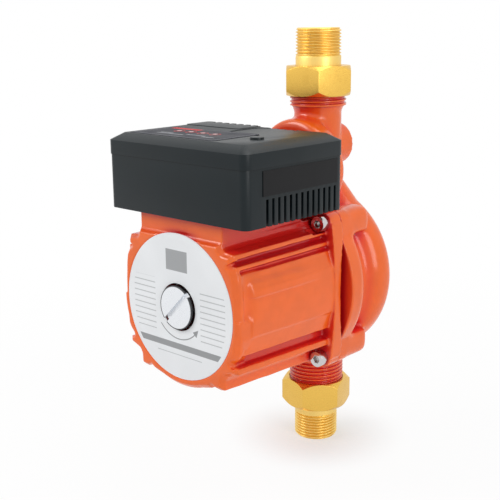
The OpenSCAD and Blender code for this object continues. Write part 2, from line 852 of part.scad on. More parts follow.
module impeller_shroud() {
    color([0.86, 0.84, 0.78]) {
        axis_ring(impeller_back_y, impeller_back_y + disc_t, impeller_r, eye_lip_r - ring_t);
        axis_ring(chamber_floor_y - casing_wall / 2, impeller_back_y + disc_t, eye_lip_r, eye_lip_r - ring_t);
    }
}

// Box outline at a given inset
module box_outline(inset = 0) {
    polygon(round_rect(box_w - 2 * inset, box_d - 2 * inset, box_corner - min(inset, box_corner / 2)));
}

module at_box(z) {
    translate([0, -box_mid_y, z]) children();
}

module box_base() {
    color([0.19, 0.21, 0.22]) difference() {
        union() {
            difference() {
                at_box(floor_z) linear_extrude(base_h) box_outline(base_inset);
                at_box(floor_z + floor_t) linear_extrude(base_h) box_outline(base_inset + box_wall);
            }
            // Lip that the lid slides over
            at_box(seam_z - lip_h) linear_extrude(2 * lip_h) difference() {
                box_outline(box_wall + fit_gap);
                box_outline(box_wall + fit_gap + lip_t);
            }
            // Posts under the circuit board
            for (sx = [-1, 1], sy = [-1, 1])
                at_box(floor_z) translate([sx * (board_w / 2 - board_post_r), sy * (board_d / 2 - board_post_r), 0])
                    cylinder(r = board_post_r, h = base_h - board_drop, $fn = fine_fn);
        }
        // Cooling slots in both sides, open at the bottom edge
        for (s = [-1, 1], i = [0:slot_count - 1]) {
            y = (i - (slot_count - 1) / 2) * slot_pitch + slot_back - box_d / 2;
            if (s > 0 || abs(y - box_d / 2 + gland_back) > gland_flange_d / 2 + slot_w)
                at_box(floor_z) translate([
                    s * (box_w / 2 - base_inset - box_wall / 2), y, slot_h / 2 - over
                ]) cube([2 * box_wall, slot_w, slot_h + 2 * over], center = true);
        }
        // Lead hole, screw holes, sensor hole and cable entry
        translate([0, -label_y + lead_hole_back, floor_z - over])
            cylinder(r = lead_hole_r, h = floor_t + 2 * over);
        for (s = [-1, 1])
            translate([0, -label_y + lead_hole_back + s * box_screw_span / 2, floor_z - over])
                cylinder(d = box_screw_d + 2 * loose_gap, h = floor_t + 2 * over);
        axis_ring(box_back_y - over, box_back_y + 2 * box_wall, sensor_d / 2 + sensor_hole_gap, 0, sensor_rise);
        translate([-box_w / 2 - over, -box_back_y - gland_back, floor_z + gland_rise]) rotate([0, 90, 0])
            cylinder(d = gland_thread_d + 2 * fit_gap, h = 3 * box_wall);
    }
}

module lid_shell(inset, drop) {
    at_box(seam_z) linear_extrude(skirt_h) box_outline(inset);
    hull() {
        at_box(seam_z + skirt_h - drop - fit_gap) linear_extrude(fit_gap) box_outline(inset);
        at_box(lid_top_z - drop - fit_gap) linear_extrude(fit_gap) box_outline(inset + lid_slope);
    }
}

// Where the button and the lenses stand, measured from the middle of the box
controls_y = -box_d / 2 + controls_front;

module at_lenses() {
    for (i = [0:lens_count - 1])
        at_box(0) translate([(i - (lens_count - 1) / 2) * lens_pitch - film_side, controls_y, 0]) children();
}

module at_film() {
    at_box(lid_top_z - film_t / 2) translate([-film_side, (film_d - box_d) / 2 + film_front, 0]) children();
}

module at_button() {
    at_box(0) translate([box_w / 2 - button_inset, controls_y, 0]) children();
}

module box_lid() {
    color([0.21, 0.23, 0.24]) difference() {
        union() {
            lid_shell(0, 0);
            // Low step behind the control film
            at_box(lid_top_z - over) translate([step_x, step_y, 0]) linear_extrude(over + film_t)
                polygon(round_rect(step_w, step_d, film_r));
        }
        at_box(seam_z - over) linear_extrude(skirt_h + over) box_outline(box_wall);
        hull() {
            at_box(seam_z + skirt_h - floor_t) linear_extrude(fit_gap) box_outline(box_wall);
            at_box(lid_top_z - floor_t - fit_gap) linear_extrude(fit_gap) box_outline(lid_slope + box_wall);
        }
        // Seat of the film and the shallow pad
        at_film() linear_extrude(film_t)
            polygon(round_rect(film_w + 2 * fit_gap, film_d + 2 * fit_gap, film_r));
        at_box(lid_top_z - film_t) translate([pad_x, pad_y, 0]) linear_extrude(film_t + over)
            polygon(round_rect(pad_w, pad_d, pad_r));
        // Rear vents through the sloping edge
        for (i = [0:vent_count - 1])
            at_box(lid_top_z - lid_chamfer) translate([
                (i - (vent_count - 1) / 2) * vent_pitch, (box_d - lid_slope) / 2, lid_chamfer / 2
            ]) cube([vent_w, vent_d, 2 * lid_chamfer], center = true);
        at_button() translate([0, 0, seam_z]) cylinder(d = button_d + 2 * loose_gap, h = 2 * skirt_h);
        at_lenses() translate([0, 0, seam_z]) cylinder(d = lens_d + 2 * fit_gap, h = 2 * skirt_h, $fn = fine_fn);
    }
}

module control_film() {
    color([0.16, 0.18, 0.22]) difference() {
        at_film() linear_extrude(film_t) polygon(round_rect(film_w, film_d, film_r));
        at_lenses() translate([0, 0, seam_z]) cylinder(d = lens_d + 2 * fit_gap, h = 2 * skirt_h, $fn = fine_fn);
    }
}

module side_plate() {
    color([0.08, 0.08, 0.09])
        translate([box_w / 2 - base_inset, -box_back_y - plate_back - plate_len, floor_z + plate_rise])
            cube([plate_thick, plate_len, plate_high]);
}

module box_screws() {
    color("silver") for (s = [-1, 1])
        translate([0, -label_y + lead_hole_back + s * box_screw_span / 2, floor_z + floor_t]) {
            cylinder(d = box_screw_head_d, h = box_screw_head_h);
            translate([0, 0, -box_screw_len + over]) cylinder(d = box_screw_d, h = box_screw_len);
        }
}

module lead_grommet() {
    color([0.1, 0.1, 0.1]) translate([0, -label_y + lead_hole_back, floor_z]) difference() {
        union() {
            translate([0, 0, floor_t]) cylinder(r = lead_hole_r + grommet_t, h = grommet_t);
            translate([0, 0, -grommet_t]) cylinder(r = lead_hole_r, h = floor_t + 2 * grommet_t);
        }
        for (i = [-1:1]) translate([i * lead_pitch, 0, -floor_t - over])
            cylinder(d = lead_d + 2 * fit_gap, h = 3 * floor_t + 2 * over, $fn = fine_fn);
    }
}

board_z = seam_z - board_drop;
leads_low_z = axis_z + winding_r + loose_gap;
block_z = floor_z + floor_t + 2 * grommet_t;

// Three leads from the front end winding up to the terminal block
module motor_leads() {
    color([0.75, 0.15, 0.12]) for (i = [-1:1])
        translate([i * lead_pitch, -label_y + lead_hole_back, leads_low_z])
            cylinder(d = lead_d, h = block_z - leads_low_z, $fn = fine_fn);
}

module circuit_board() {
    color([0.10, 0.32, 0.18]) at_box(board_z) linear_extrude(board_t)
        polygon(round_rect(board_w, board_d, board_post_r / 2));
    color([0.15, 0.15, 0.15]) at_button() translate([0, 0, board_z + board_t])
        cylinder(d = button_rim_d, h = board_t);
}

module capacitor() {
    color([0.20, 0.22, 0.55])
        translate([board_w / 2 - 2 * board_post_r - cap_len, -box_mid_y + board_d / 4,
                   floor_z + floor_t + cap_r])
            rotate([0, 90, 0]) cylinder(r = cap_r, h = cap_len - fit_gap);
}

module terminal_block() {
    color([0.9, 0.9, 0.86]) difference() {
        translate([-block_w / 2, -label_y + lead_hole_back - block_d / 2, block_z])
            cube([block_w, block_d, board_z - block_z]);
        for (i = [0:block_poles - 1])
            translate([(i - 1) * block_w / block_poles, -label_y + lead_hole_back - block_d,
                       block_z + block_h / 2])
                rotate([-90, 0, 0]) cylinder(d = 2 * lead_d, h = block_d, $fn = fine_fn);
    }
}

module indicator_lenses() {
    color([0.8, 0.1, 0.1]) at_lenses() translate([0, 0, board_z + board_t])
        cylinder(d = lens_d, h = lid_top_z + lens_proud - board_z - board_t, $fn = fine_fn);
}

module mode_button() {
    color([0.75, 0.76, 0.78]) at_button() {
        translate([0, 0, lid_top_z - floor_t - button_rim_t - fit_gap]) {
            cylinder(d = button_rim_d, h = button_rim_t);
            cylinder(d = button_d, h = floor_t + button_rim_t + fit_gap + button_proud);
        }
        translate([0, 0, board_z + 2 * board_t + button_travel + run_gap])
            cylinder(d = button_stem_d, h = lid_top_z - floor_t - board_z - 2 * board_t - button_travel);
    }
}

// Return spring between the key switch and the button's rim, as a stack of open turns
module button_spring() {
    low = board_z + 2 * board_t;
    high = lid_top_z - floor_t - button_rim_t - fit_gap;
    rise = (high - low - spring_wire) / spring_turns;
    color("silver") at_button() for (i = [0:spring_turns])
        translate([0, 0, low + spring_wire / 2 + i * rise]) rotate_extrude($fn = fine_fn)
            translate([(spring_d - spring_wire) / 2, 0]) circle(d = spring_wire, $fn = fine_fn / 2);
}

// Along -X from the left side of the box, drawn along +Z
module at_gland() {
    translate([-box_w / 2 + base_inset, -box_back_y - gland_back, floor_z + gland_rise])
        rotate([0, -90, 0]) children();
}

module gland_body() {
    color([0.13, 0.14, 0.15]) at_gland() difference() {
        union() {
            cylinder(d = gland_flange_d, h = gland_flange_t, $fn = 6);
            translate([0, 0, -box_wall - gland_wall_t]) cylinder(d = gland_thread_d, h = gland_reach + box_wall + gland_wall_t);
            translate([0, 0, -box_wall - gland_wall_t]) cylinder(d = gland_flange_d, h = gland_wall_t, $fn = 6);
        }
        translate([0, 0, -box_wall - gland_wall_t - over])
            cylinder(d = gland_bore_d, h = gland_reach + 3 * gland_wall_t);
        translate([0, 0, gland_reach / 2]) cylinder(r = gland_seal_r + fit_gap, h = gland_reach);
    }
}

module gland_seal() {
    color([0.2, 0.2, 0.2]) at_gland() translate([0, 0, gland_reach / 2]) difference() {
        cylinder(r = gland_seal_r, h = gland_reach / 2 + run_gap);
        translate([0, 0, -over]) cylinder(d = gland_seal_d, h = gland_reach);
    }
}

module gland_nut() {
    color([0.15, 0.16, 0.17]) at_gland() translate([0, 0, gland_flange_t + fit_gap]) difference() {
        cylinder(d = gland_nut_af * 2 / sqrt(3), h = gland_nut_len, $fn = 6);
        translate([0, 0, -over]) cylinder(d = gland_thread_d + 2 * fit_gap, h = gland_reach - gland_flange_t + over);
        cylinder(d = gland_bore_d + 2 * loose_gap, h = gland_nut_len + over);
    }
}

casing();
neck_ring();
casing_gasket();
inlet_tail();
inlet_washer();
inlet_nut();
outlet_tail();
outlet_washer();
outlet_nut();
flow_flap();
flap_pin();
flow_sensor();
motor_housing();
flange_screws();
rating_disc();
vent_plug();
vent_plug_seal();
bearing_plate();
front_bearing();
rotor_can();
rear_bearing();
stator_core();
stator_windings();
rotor_core();
shaft();
thrust_washer();
impeller();
impeller_shroud();
box_base();
box_lid();
box_screws();
lead_grommet();
motor_leads();
circuit_board();
capacitor();
terminal_block();
indicator_lenses();
mode_button();
button_spring();
control_film();
side_plate();
gland_body();
gland_seal();
gland_nut();
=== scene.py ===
"""Looks of an in-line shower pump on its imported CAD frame.

The script softens the castings, rounds the edges of the machined and moulded
pieces, cuts helical threads on the brass tailpieces and the ports, gives every
piece a procedural material, and sets the floor, the light and the camera.
"""

import json
import logging
import math
from dataclasses import dataclass
from enum import Enum
from functools import reduce
from typing import Any, Sequence, Union

import bmesh
import bpy
import numpy as np
from mathutils import Matrix, Vector

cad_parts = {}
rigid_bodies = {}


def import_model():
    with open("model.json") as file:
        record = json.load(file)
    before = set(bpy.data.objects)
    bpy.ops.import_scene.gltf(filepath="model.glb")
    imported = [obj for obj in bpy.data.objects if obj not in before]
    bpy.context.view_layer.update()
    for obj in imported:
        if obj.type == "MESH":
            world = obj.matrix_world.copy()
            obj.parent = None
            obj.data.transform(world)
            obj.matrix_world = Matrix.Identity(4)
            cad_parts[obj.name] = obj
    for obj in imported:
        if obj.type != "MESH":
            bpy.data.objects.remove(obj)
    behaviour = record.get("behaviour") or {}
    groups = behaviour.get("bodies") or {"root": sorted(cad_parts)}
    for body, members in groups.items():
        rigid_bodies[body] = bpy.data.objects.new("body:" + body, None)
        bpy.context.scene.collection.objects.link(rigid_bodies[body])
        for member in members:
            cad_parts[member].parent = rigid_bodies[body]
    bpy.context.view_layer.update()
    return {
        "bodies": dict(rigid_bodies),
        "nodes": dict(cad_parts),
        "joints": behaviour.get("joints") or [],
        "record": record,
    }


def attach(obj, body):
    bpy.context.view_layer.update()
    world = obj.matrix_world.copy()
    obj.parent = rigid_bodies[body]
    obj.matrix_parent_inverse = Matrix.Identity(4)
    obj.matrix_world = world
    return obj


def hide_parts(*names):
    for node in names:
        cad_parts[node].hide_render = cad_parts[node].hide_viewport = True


LOG = logging.getLogger("shower_pump")
MM = 0.001

# Sizes that the finishes and the built pieces share with the CAD source, in millimetres
AXIS_Z = 109.5
PUMP_HEIGHT = 251.0
LABEL_R = 39.6
FILM_CENTRE = (-10.0, -92.0)
FILM_SIZE = (64.0, 35.0)
LENS_Y = -89.5
LENS_PITCH = 9.0
LENS_COUNT = 4
PORT_THREAD_R = 16.625
INLET_FACE_Z = 29.5
OUTLET_FACE_Z = 221.5

Colour = tuple[float, float, float]
Value = Union["Sock", float, Colour]
Span = tuple[float, float]
Numbers = Union[float, np.ndarray]
Ring = tuple[float, Numbers]

WHITE: Colour = (1.0, 1.0, 1.0)


class Body(str, Enum):
    """Bodies of the CAD frame that built pieces ride on."""

    PUMP = "pump_body"
    INLET_UNION = "inlet_union"
    OUTLET_UNION = "outlet_union"
    PLUG = "plug"
    BUTTON = "button"
    GLAND = "gland"


class Axis(int, Enum):
    """Axes that a piece can be turned about."""

    MOTOR = 1
    PIPE = 2


def ramp(value: Numbers, width: float) -> Numbers:
    """A value as a share of a width, kept between 0 and 1."""
    return np.clip(value / width, 0.0, 1.0)


def ease(share: Numbers) -> Numbers:
    """A share with a smooth start and end."""
    return share * share * (3 - 2 * share)


class Sock:
    """A shader socket that does arithmetic by adding Math nodes."""

    def __init__(self, graph: "Graph", socket: bpy.types.NodeSocket) -> None:
        """Wraps an output socket of a graph."""
        self.graph = graph
        self.socket = socket

    def __add__(self, other: Value) -> "Sock":
        """This plus another value."""
        return self.graph.math("ADD", self, other)

    __radd__ = __add__

    def __sub__(self, other: Value) -> "Sock":
        """This less another value."""
        return self.graph.math("SUBTRACT", self, other)

    def __rsub__(self, other: Value) -> "Sock":
        """Another value less this."""
        return self.graph.math("SUBTRACT", other, self)

    def __mul__(self, other: Value) -> "Sock":
        """This times another value."""
        return self.graph.math("MULTIPLY", self, other)

    __rmul__ = __mul__

    def __pow__(self, power: Value) -> "Sock":
        """This to a power."""
        return self.graph.math("POWER", self, power)

    def __rpow__(self, base: Value) -> "Sock":
        """Another value to the power of this."""
        return self.graph.math("POWER", base, self)

    def __abs__(self) -> "Sock":
        """This without its sign."""
        return self.graph.math("ABSOLUTE", self)

    def most(self, other: Value) -> "Sock":
        """The larger of this and another value."""
        return self.graph.math("MAXIMUM", self, other)

    def sine(self) -> "Sock":
        """The sine of this value in radians."""
        return self.graph.math("SINE", self)

    def rise(self, low: float, high: float, out_low: float = 0.0, out_high: float = 1.0) -> "Sock":
        """A smooth step from one level to another.

        Args:
            low: value where the step starts.
            high: value where the step ends.
            out_low: level before the step.
            out_high: level after the step.

        Returns:
            The stepped socket.
        """
        levels = {"From Min": low, "From Max": high, "To Min": out_low, "To Max": out_high}
        made = self.graph.node(
            "ShaderNodeMapRange", {"Value": self, **levels}, interpolation_type="SMOOTHSTEP"
        )
        return Sock(self.graph, made.outputs["Result"])

    def near(self, centre: float, half: float, soft: float = 0.08) -> "Sock":
        """One within half of the centre and zero outside, with a soft edge."""
        return abs(self - centre).rise(half + soft, half - soft)


class Graph:
    """The node tree of one material or world, with short ways to add nodes."""

    def __init__(self, owner: bpy.types.ID) -> None:
        """Switches on the nodes of a material or world.

        Args:
            owner: the material or world.
        """
        owner.use_nodes = True
        self.owner = owner
        self.tree = owner.node_tree
        self._place: Sock | None = None

    def node(
        self, kind: str, inputs: dict[int | str, Value] | None = None, **settings: Any
    ) -> bpy.types.Node:
        """Adds a node.

        Args:
            kind: Blender's identifier of the node type.
            inputs: values or sockets by input name or number.
            **settings: attributes of the node, which are set first.

        Returns:
            The new node.
        """
        made = self.tree.nodes.new(kind)
        for key, value in settings.items():
            setattr(made, key, value)
        for key, value in (inputs or {}).items():
            self.feed(made.inputs[key], value)
        return made

    def feed(self, target: bpy.types.NodeSocket, value: Value) -> None:
        """Links a socket to an input, or sets the input to a constant.

        Args:
            target: the input.
            value: a socket, a number, a vector or a colour.
        """
        if isinstance(value, Sock):
            self.tree.links.new(value.socket, target)
        elif isinstance(value, (tuple, list)) and target.type == "RGBA":
            target.default_value = (*value[:3], 1.0)
        else:
            target.default_value = value

    def put(self, **inputs: Value) -> None:
        """Feeds the Principled shader; an underscore in a name stands for a space."""
        for key, value in inputs.items():
            self.feed(self.tree.nodes["Principled BSDF"].inputs[key.replace("_", " ")], value)

    def math(self, operation: str, *values: Value) -> Sock:
        """Adds a Math node."""
        made = self.node("ShaderNodeMath", dict(enumerate(values)), operation=operation)
        return Sock(self, made.outputs[0])

    def place(self) -> Sock:
        """Position in the row frame in metres.

        Returns:
            The one coordinate socket of the graph.
        """
        if self._place is None:
            self._place = Sock(self, self.node("ShaderNodeTexCoord").outputs["Object"])
        return self._place

    def axes(self) -> tuple[Sock, Sock, Sock]:
        """Position in the row frame in millimetres, one socket an axis."""
        parts = self.node("ShaderNodeSeparateXYZ", {0: self.place()}).outputs
        return tuple(Sock(self, parts[i]) * (1 / MM) for i in range(3))

    def stretched(self, factors: Sequence[float]) -> Sock:
        """Position scaled by one factor an axis."""
        made = self.node("ShaderNodeVectorMath", {0: self.place(), 1: tuple(factors)}, operation="MULTIPLY")
        return Sock(self, made.outputs[0])

    def noise(self, size: float, detail: float = 2.0, rough: float = 0.5, where: Sock | None = None) -> Sock:
        """Smooth noise between about 0 and 1.

        Args:
            size: wavelength in millimetres.
            detail: octaves.
            rough: weight of each finer octave.
            where: coordinates, the row frame's if left out.

        Returns:
            The noise value.
        """
        made = self.node(
            "ShaderNodeTexNoise",
            {"Vector": where or self.place(), "Scale": 1 / (size * MM), "Detail": detail, "Roughness": rough},
        )
        return Sock(self, made.outputs[0])

    def cells(self, size: float) -> Sock:
        """Distance to the middle of the nearest random cell of a size in millimetres."""
        made = self.node("ShaderNodeTexVoronoi", {"Vector": self.place(), "Scale": 1 / (size * MM)})
        return Sock(self, made.outputs["Distance"])

    def shade(self, reach: float) -> Sock:
        """How open the surface is within a reach in millimetres: 1 in the open, 0 at the bottom of a groove.
        """
        made = self.node("ShaderNodeAmbientOcclusion", {"Distance": reach * MM}, samples=16)
        return Sock(self, made.outputs["AO"])

    def blend(self, factor: Value, first: Value, second: Value) -> Sock:
        """Mixes two colours.

        Args:
            factor: share of the second colour.
            first: colour at a share of zero.
            second: colour at a share of one.

        Returns:
            The mixed colour.
        """
        made = self.node("ShaderNodeMix", data_type="RGBA")
        self.feed(made.inputs["Factor"], factor)
        colours = [socket for socket in made.inputs if socket.type == "RGBA"]
        self.feed(colours[0], first)
        self.feed(colours[1], second)
        return Sock(self, next(out for out in made.outputs if out.type == "RGBA"))

    def relief(self, *layers: tuple[Sock, float], radius: float = 0.0) -> Sock:
        """Bump from several heights.

        Args:
            *layers: a height socket and its depth in millimetres, each.
            radius: how far the shader rounds hard edges, in millimetres.

        Returns:
            The normal socket.
        """
        normal = None
        if radius:
            made = self.node("ShaderNodeBevel", {"Radius": radius * MM}, samples=4)
            normal = Sock(self, made.outputs["Normal"])
        for height, depth in layers:
            inputs: dict[int | str, Value] = {"Height": height, "Distance": depth * MM, "Strength": 1.0}
            if normal is not None:
                inputs["Normal"] = normal
            normal = Sock(self, self.node("ShaderNodeBump", inputs).outputs["Normal"])
        return normal

    def seen_directly(self) -> Sock:
        """Tells what is seen directly from what only lights the object.

        Returns:
            One for camera, glossy and transmission rays, zero for the others.
        """
        path = self.node("ShaderNodeLightPath").outputs
        rays = (Sock(self, path[f"Is {kind} Ray"]) for kind in ("Camera", "Glossy", "Transmission"))
        return reduce(Sock.most, rays)

    def show(self, output: str, share: Value, first: bpy.types.Node, second: bpy.types.Node) -> None:
        """Feeds a mix of two shaders to the surface.

        Args:
            output: name of the tree's output node.
            share: share of the second shader.
            first: shader at a share of zero.
            second: shader at a share of one.
        """
        inputs = {0: share, 1: Sock(self, first.outputs[0]), 2: Sock(self, second.outputs[0])}
        mix = self.node("ShaderNodeMixShader", inputs)
        self.feed(self.tree.nodes[output].inputs["Surface"], Sock(self, mix.outputs[0]))


@dataclass(frozen=True)
class Finish:
    """A surface finish that paints one procedural material.

    Attributes:
        name: name of the material.
        colour: linear base colour.
        rough: mean roughness.
    """

    name: str
    colour: Colour
    rough: float

    def material(self) -> bpy.types.Material:
        """Builds the material, or takes the one built before.

        Returns:
            The material.
        """
        title = self.name + "_finish"
        known = bpy.data.materials.get(title)
        if known:
            return known
        graph = Graph(bpy.data.materials.new(title))
        self.paint(graph)
        return graph.owner

    def paint(self, graph: Graph) -> None:
        """Adds the finish's nodes to the graph."""
        raise NotImplementedError

    def tone(self, share: float) -> Colour:
        """The base colour, lighter or darker by a share."""
        return tuple(channel * share for channel in self.colour)


@dataclass(frozen=True)
class Enamel(Finish):
    """Glossy enamel on a sand casting: cast waves, small pits and a fine orange peel.

    A relief is its size and depth, and a reach is how near a wall closes a groove, all in millimetres.
    The base colour carries painted shade: a dark red in grooves and a crimson in wide hollows, where shade
    falls.
    """

    groove_shade: Colour = (0.50, 0.006, 0.010)
    hollow_shade: Colour = (0.82, 0.012, 0.014)
    wave: Span = (11.0, 0.05)
    pit: Span = (2.6, 0.015)
    peel: Span = (0.8, 0.002)
    groove_reach: float = 6.0
    hollow_reach: float = 34.0

    def paint(self, graph: Graph) -> None:
        """Adds the finish's nodes.

        Args:
            graph: the material's graph.
        """
        cast = graph.noise(self.wave[0])
        peel = graph.noise(self.peel[0])
        pits = graph.noise(self.pit[0], 3.0, 0.6).rise(0.66, 0.8)
        body = graph.blend(cast.rise(0.3, 0.7), self.tone(0.96), self.tone(1.03))
        # painted shade: ambient occlusion darkens grooves towards the dark red, and wide hollows such as
        # those under the box towards the crimson
        closed = graph.shade(self.groove_reach).rise(0.92, 0.42) * 0.9
        wide = graph.shade(self.hollow_reach).rise(0.92, 0.4) * 0.95
        graph.put(
            Base_Color=graph.blend(closed, graph.blend(wide, body, self.hollow_shade), self.groove_shade),
            Roughness=peel.rise(0.3, 0.75, self.rough - 0.03, self.rough + 0.05),
            Specular_IOR_Level=0.4,
            Coat_Weight=0.2,
            Coat_Roughness=0.06,
            Normal=graph.relief((cast, self.wave[1]), (pits, -self.pit[1]), (peel, self.peel[1])),
        )


@dataclass(frozen=True)
class Turned(Finish):
    """Bright metal with fine tool marks round one axis.

    Lengths are in millimetres, a dent is its size and depth, and stretch draws the marks out round the
    axis. Patches mix in the stain colour by the share stain, as real stain, and corners and
    grooves darken towards the same colour as painted shade.
    """

    axis: Axis = Axis.PIPE
    stain_and_shade: Colour = (0.5, 0.4, 0.2)
    marks: float = 0.004
    stain: float = 0.3
    radius: float = 0.15
    line: float = 0.25
    stretch: float = 0.12
    dent: Span = (3.5, 0.015)
    patch: float = 9.0
    groove_reach: float = 2.5

    def ground(self, graph: Graph) -> Sock:
        """The base colour with its stained patches and the painted shade in its corners.

        Args:
            graph: the material's graph.

        Returns:
            The colour socket.
        """
        stain = graph.noise(self.patch, 4.0, 0.6).rise(0.5, 0.75) * self.stain
        # painted shade: corners and thread grooves darken towards the stain colour by ambient occlusion
        edge = graph.shade(self.groove_reach).rise(0.7, 0.3) * 0.3
        return graph.blend(stain.most(edge), self.colour, self.stain_and_shade)

    def paint(self, graph: Graph) -> None:
        """Adds the finish's nodes.

        Args:
            graph: the material's graph.
        """
        along = [self.stretch] * 3
        along[self.axis] = 1.0
        lines = graph.noise(self.line, 2.0, 0.6, graph.stretched(along))
        dents = graph.noise(self.dent[0])
        graph.put(
            Base_Color=self.ground(graph),
            Metallic=1.0,
            Roughness=lines.rise(0.25, 0.8, self.rough - 0.06, self.rough + 0.1),
            Normal=graph.relief((dents, self.dent[1]), (lines, self.marks), radius=self.radius),
        )


@dataclass(frozen=True)
class Knob(Turned):
    """A head turned about the motor axis, with a dark rim.

    Attributes:
        rim: radius in millimetres where the dark rim starts.
        rim_soft: width of its edge in millimetres.
    """

    rim: float = 11.05
    rim_soft: float = 0.4

    def ground(self, graph: Graph) -> Sock:
        """The base colour with its dark rim.

        Args:
            graph: the material's graph.

        Returns:
            The colour socket.
        """
        x, _, z = graph.axes()
        up = z - AXIS_Z
        radius = (x * x + up * up) ** 0.5
        return graph.blend(radius.rise(self.rim, self.rim + self.rim_soft), self.colour, self.tone(0.1))


@dataclass(frozen=True)
class Moulded(Finish):
    """Moulded plastic or rubber with a fine eroded texture and painted shade in its seams and crevices.

    Lengths are in millimetres. Grain and depth are those of the fine texture, and flow is the size and
    depth of the slow waves.
    """

    grain: float = 0.35
    depth: float = 0.02
    coat: float = 0.0
    gloss: float = 0.5
    flow: Span = (22.0, 0.12)
    dust: float = 3.0
    seam_reach: float = 2.2

    def paint(self, graph: Graph) -> None:
        """Adds the finish's nodes.

        Args:
            graph: the material's graph.
        """
        fine = graph.noise(self.grain, 3.0, 0.6)
        flow = graph.noise(self.flow[0])
        dust = graph.noise(self.dust, 5.0, 0.7).rise(0.62, 0.8) * 0.12
        body = graph.blend(flow.rise(0.3, 0.7), self.tone(0.92), self.tone(1.1))
        # painted shade: seams, slots and crevices darken by ambient occlusion
        crevice_shade = graph.shade(self.seam_reach).rise(0.85, 0.4) * 0.9
        graph.put(
            Base_Color=graph.blend(crevice_shade, graph.blend(dust, body, self.tone(1.6)), self.tone(0.15)),
            Roughness=fine.rise(0.2, 0.8, self.rough - 0.06, self.rough + 0.08),
            Specular_IOR_Level=self.gloss,
            Coat_Weight=self.coat,
            Normal=graph.relief((flow, self.flow[1]), (fine, self.depth)),
        )


@dataclass(frozen=True)
class Laminated(Finish):
    """Stacked sheets or turns seen from the edge.

    A sheet and the groove between two are in millimetres, and metal is the metallic share.
    """

    sheet: float = 0.5
    metal: float = 1.0
    groove: float = 0.04

    def paint(self, graph: Graph) -> None:
        """Adds the finish's nodes.

        Args:
            graph: the material's graph.
        """
        _, along, _ = graph.axes()
        layers = (along * (2 * math.pi / self.sheet)).sine().rise(-1.0, -0.4)
        patches = graph.noise(4.0, 3.0, 0.6)
        graph.put(
            Base_Color=graph.blend(layers * patches.rise(0.2, 0.7, 0.6, 1.0), self.tone(0.4), self.colour),
            Metallic=self.metal,
            Roughness=patches.rise(0.3, 0.7, self.rough, self.rough + 0.15),
            Normal=graph.relief((layers, self.groove)),
        )


@dataclass(frozen=True)
class Disc(Finish):
    """The motor's blank label: satin foil with plain rules, a field, a band and a turning arrow.

    A block of print is its centre and half width across, then up from the motor axis, in millimetres.

    The arrow's head starts at its foot with its half width, points along its way and narrows by its slope.
    """

    ink: Colour = (0.11, 0.115, 0.12)
    row: float = 3.2
    bare_r: float = LABEL_R - 2.5
    rules_r: float = 35.5
    band: Span = (-21.8, 1.7)
    field: tuple[Span, Span] = ((-0.5, 8.0), (25.0, 5.6))
    foot: tuple[Span, Span] = ((0.0, 17.0), (-26.6, 0.22))
    columns: tuple[tuple[Span, Span], ...] = (((-26.0, 8.5), (-1.0, 14.4)), ((25.5, 9.0), (-2.5, 14.4)))
    arrow_r: float = 17.6
    arrow_foot: Span = (12.0, -12.9)
    arrow_way: Span = (0.67, 0.74)
    arrow_slope: float = 0.42
    arrow_half: float = 1.8

    def arrow(self, x: Sock, up: Sock, radius: Sock) -> Sock:
        """The arrow that shows which way the plug turns.

        Args:
            x: place across.
            up: place above the motor axis.
            radius: distance from the motor axis.

        Returns:
            One on the arrow, zero elsewhere.
        """
        arc = radius.near(self.arrow_r, 0.3) * up.rise(-11.0, -11.4)
        right, over = x - self.arrow_foot[0], up - self.arrow_foot[1]
        ahead = right * self.arrow_way[0] + over * self.arrow_way[1]
        aside = abs(over * self.arrow_way[0] - right * self.arrow_way[1])
        width = aside + ahead * self.arrow_slope
        return arc.most(width.rise(self.arrow_half + 0.1, self.arrow_half - 0.1) * ahead.rise(-0.1, 0.1))

    def paint(self, graph: Graph) -> None:
        """Adds the finish's nodes.

        Args:
            graph: the material's graph.
        """
        x, _, z = graph.axes()
        up = z - AXIS_Z
        radius = (x * x + up * up) ** 0.5

        def block(across: Span, high: Span) -> Sock:
            """One inside a block of print."""
            return x.near(*across) * up.near(*high)

        band = up.near(*self.band) * radius.rise(self.bare_r + 0.1, self.bare_r - 0.1)
        rows = (up * (2 * math.pi / self.row)).sine().rise(0.80, 0.90)
        columns = reduce(Sock.most, (block(*column) for column in self.columns))
        rules = (rows * columns * radius.rise(self.rules_r + 0.1, self.rules_r - 0.1)).most(block(*self.foot))
        arrow = self.arrow(x, up, radius)
        print_share = (band * 0.72).most(block(*self.field) * 0.64).most(rules * 0.45).most(arrow * 0.75)
        fleck = graph.noise(0.4, 3.0, 0.6)
        sweep = graph.noise(30.0, 1.0, 0.5)
        foil = graph.blend(sweep.rise(0.35, 0.65), self.tone(0.98), self.tone(1.02))
        graph.put(
            Base_Color=graph.blend(print_share, foil, self.ink),
            Metallic=0.1,
            Roughness=fleck.rise(0.3, 0.7, self.rough - 0.03, self.rough + 0.04),
            Normal=graph.relief((fleck, 0.002), (sweep, 0.02)),
        )


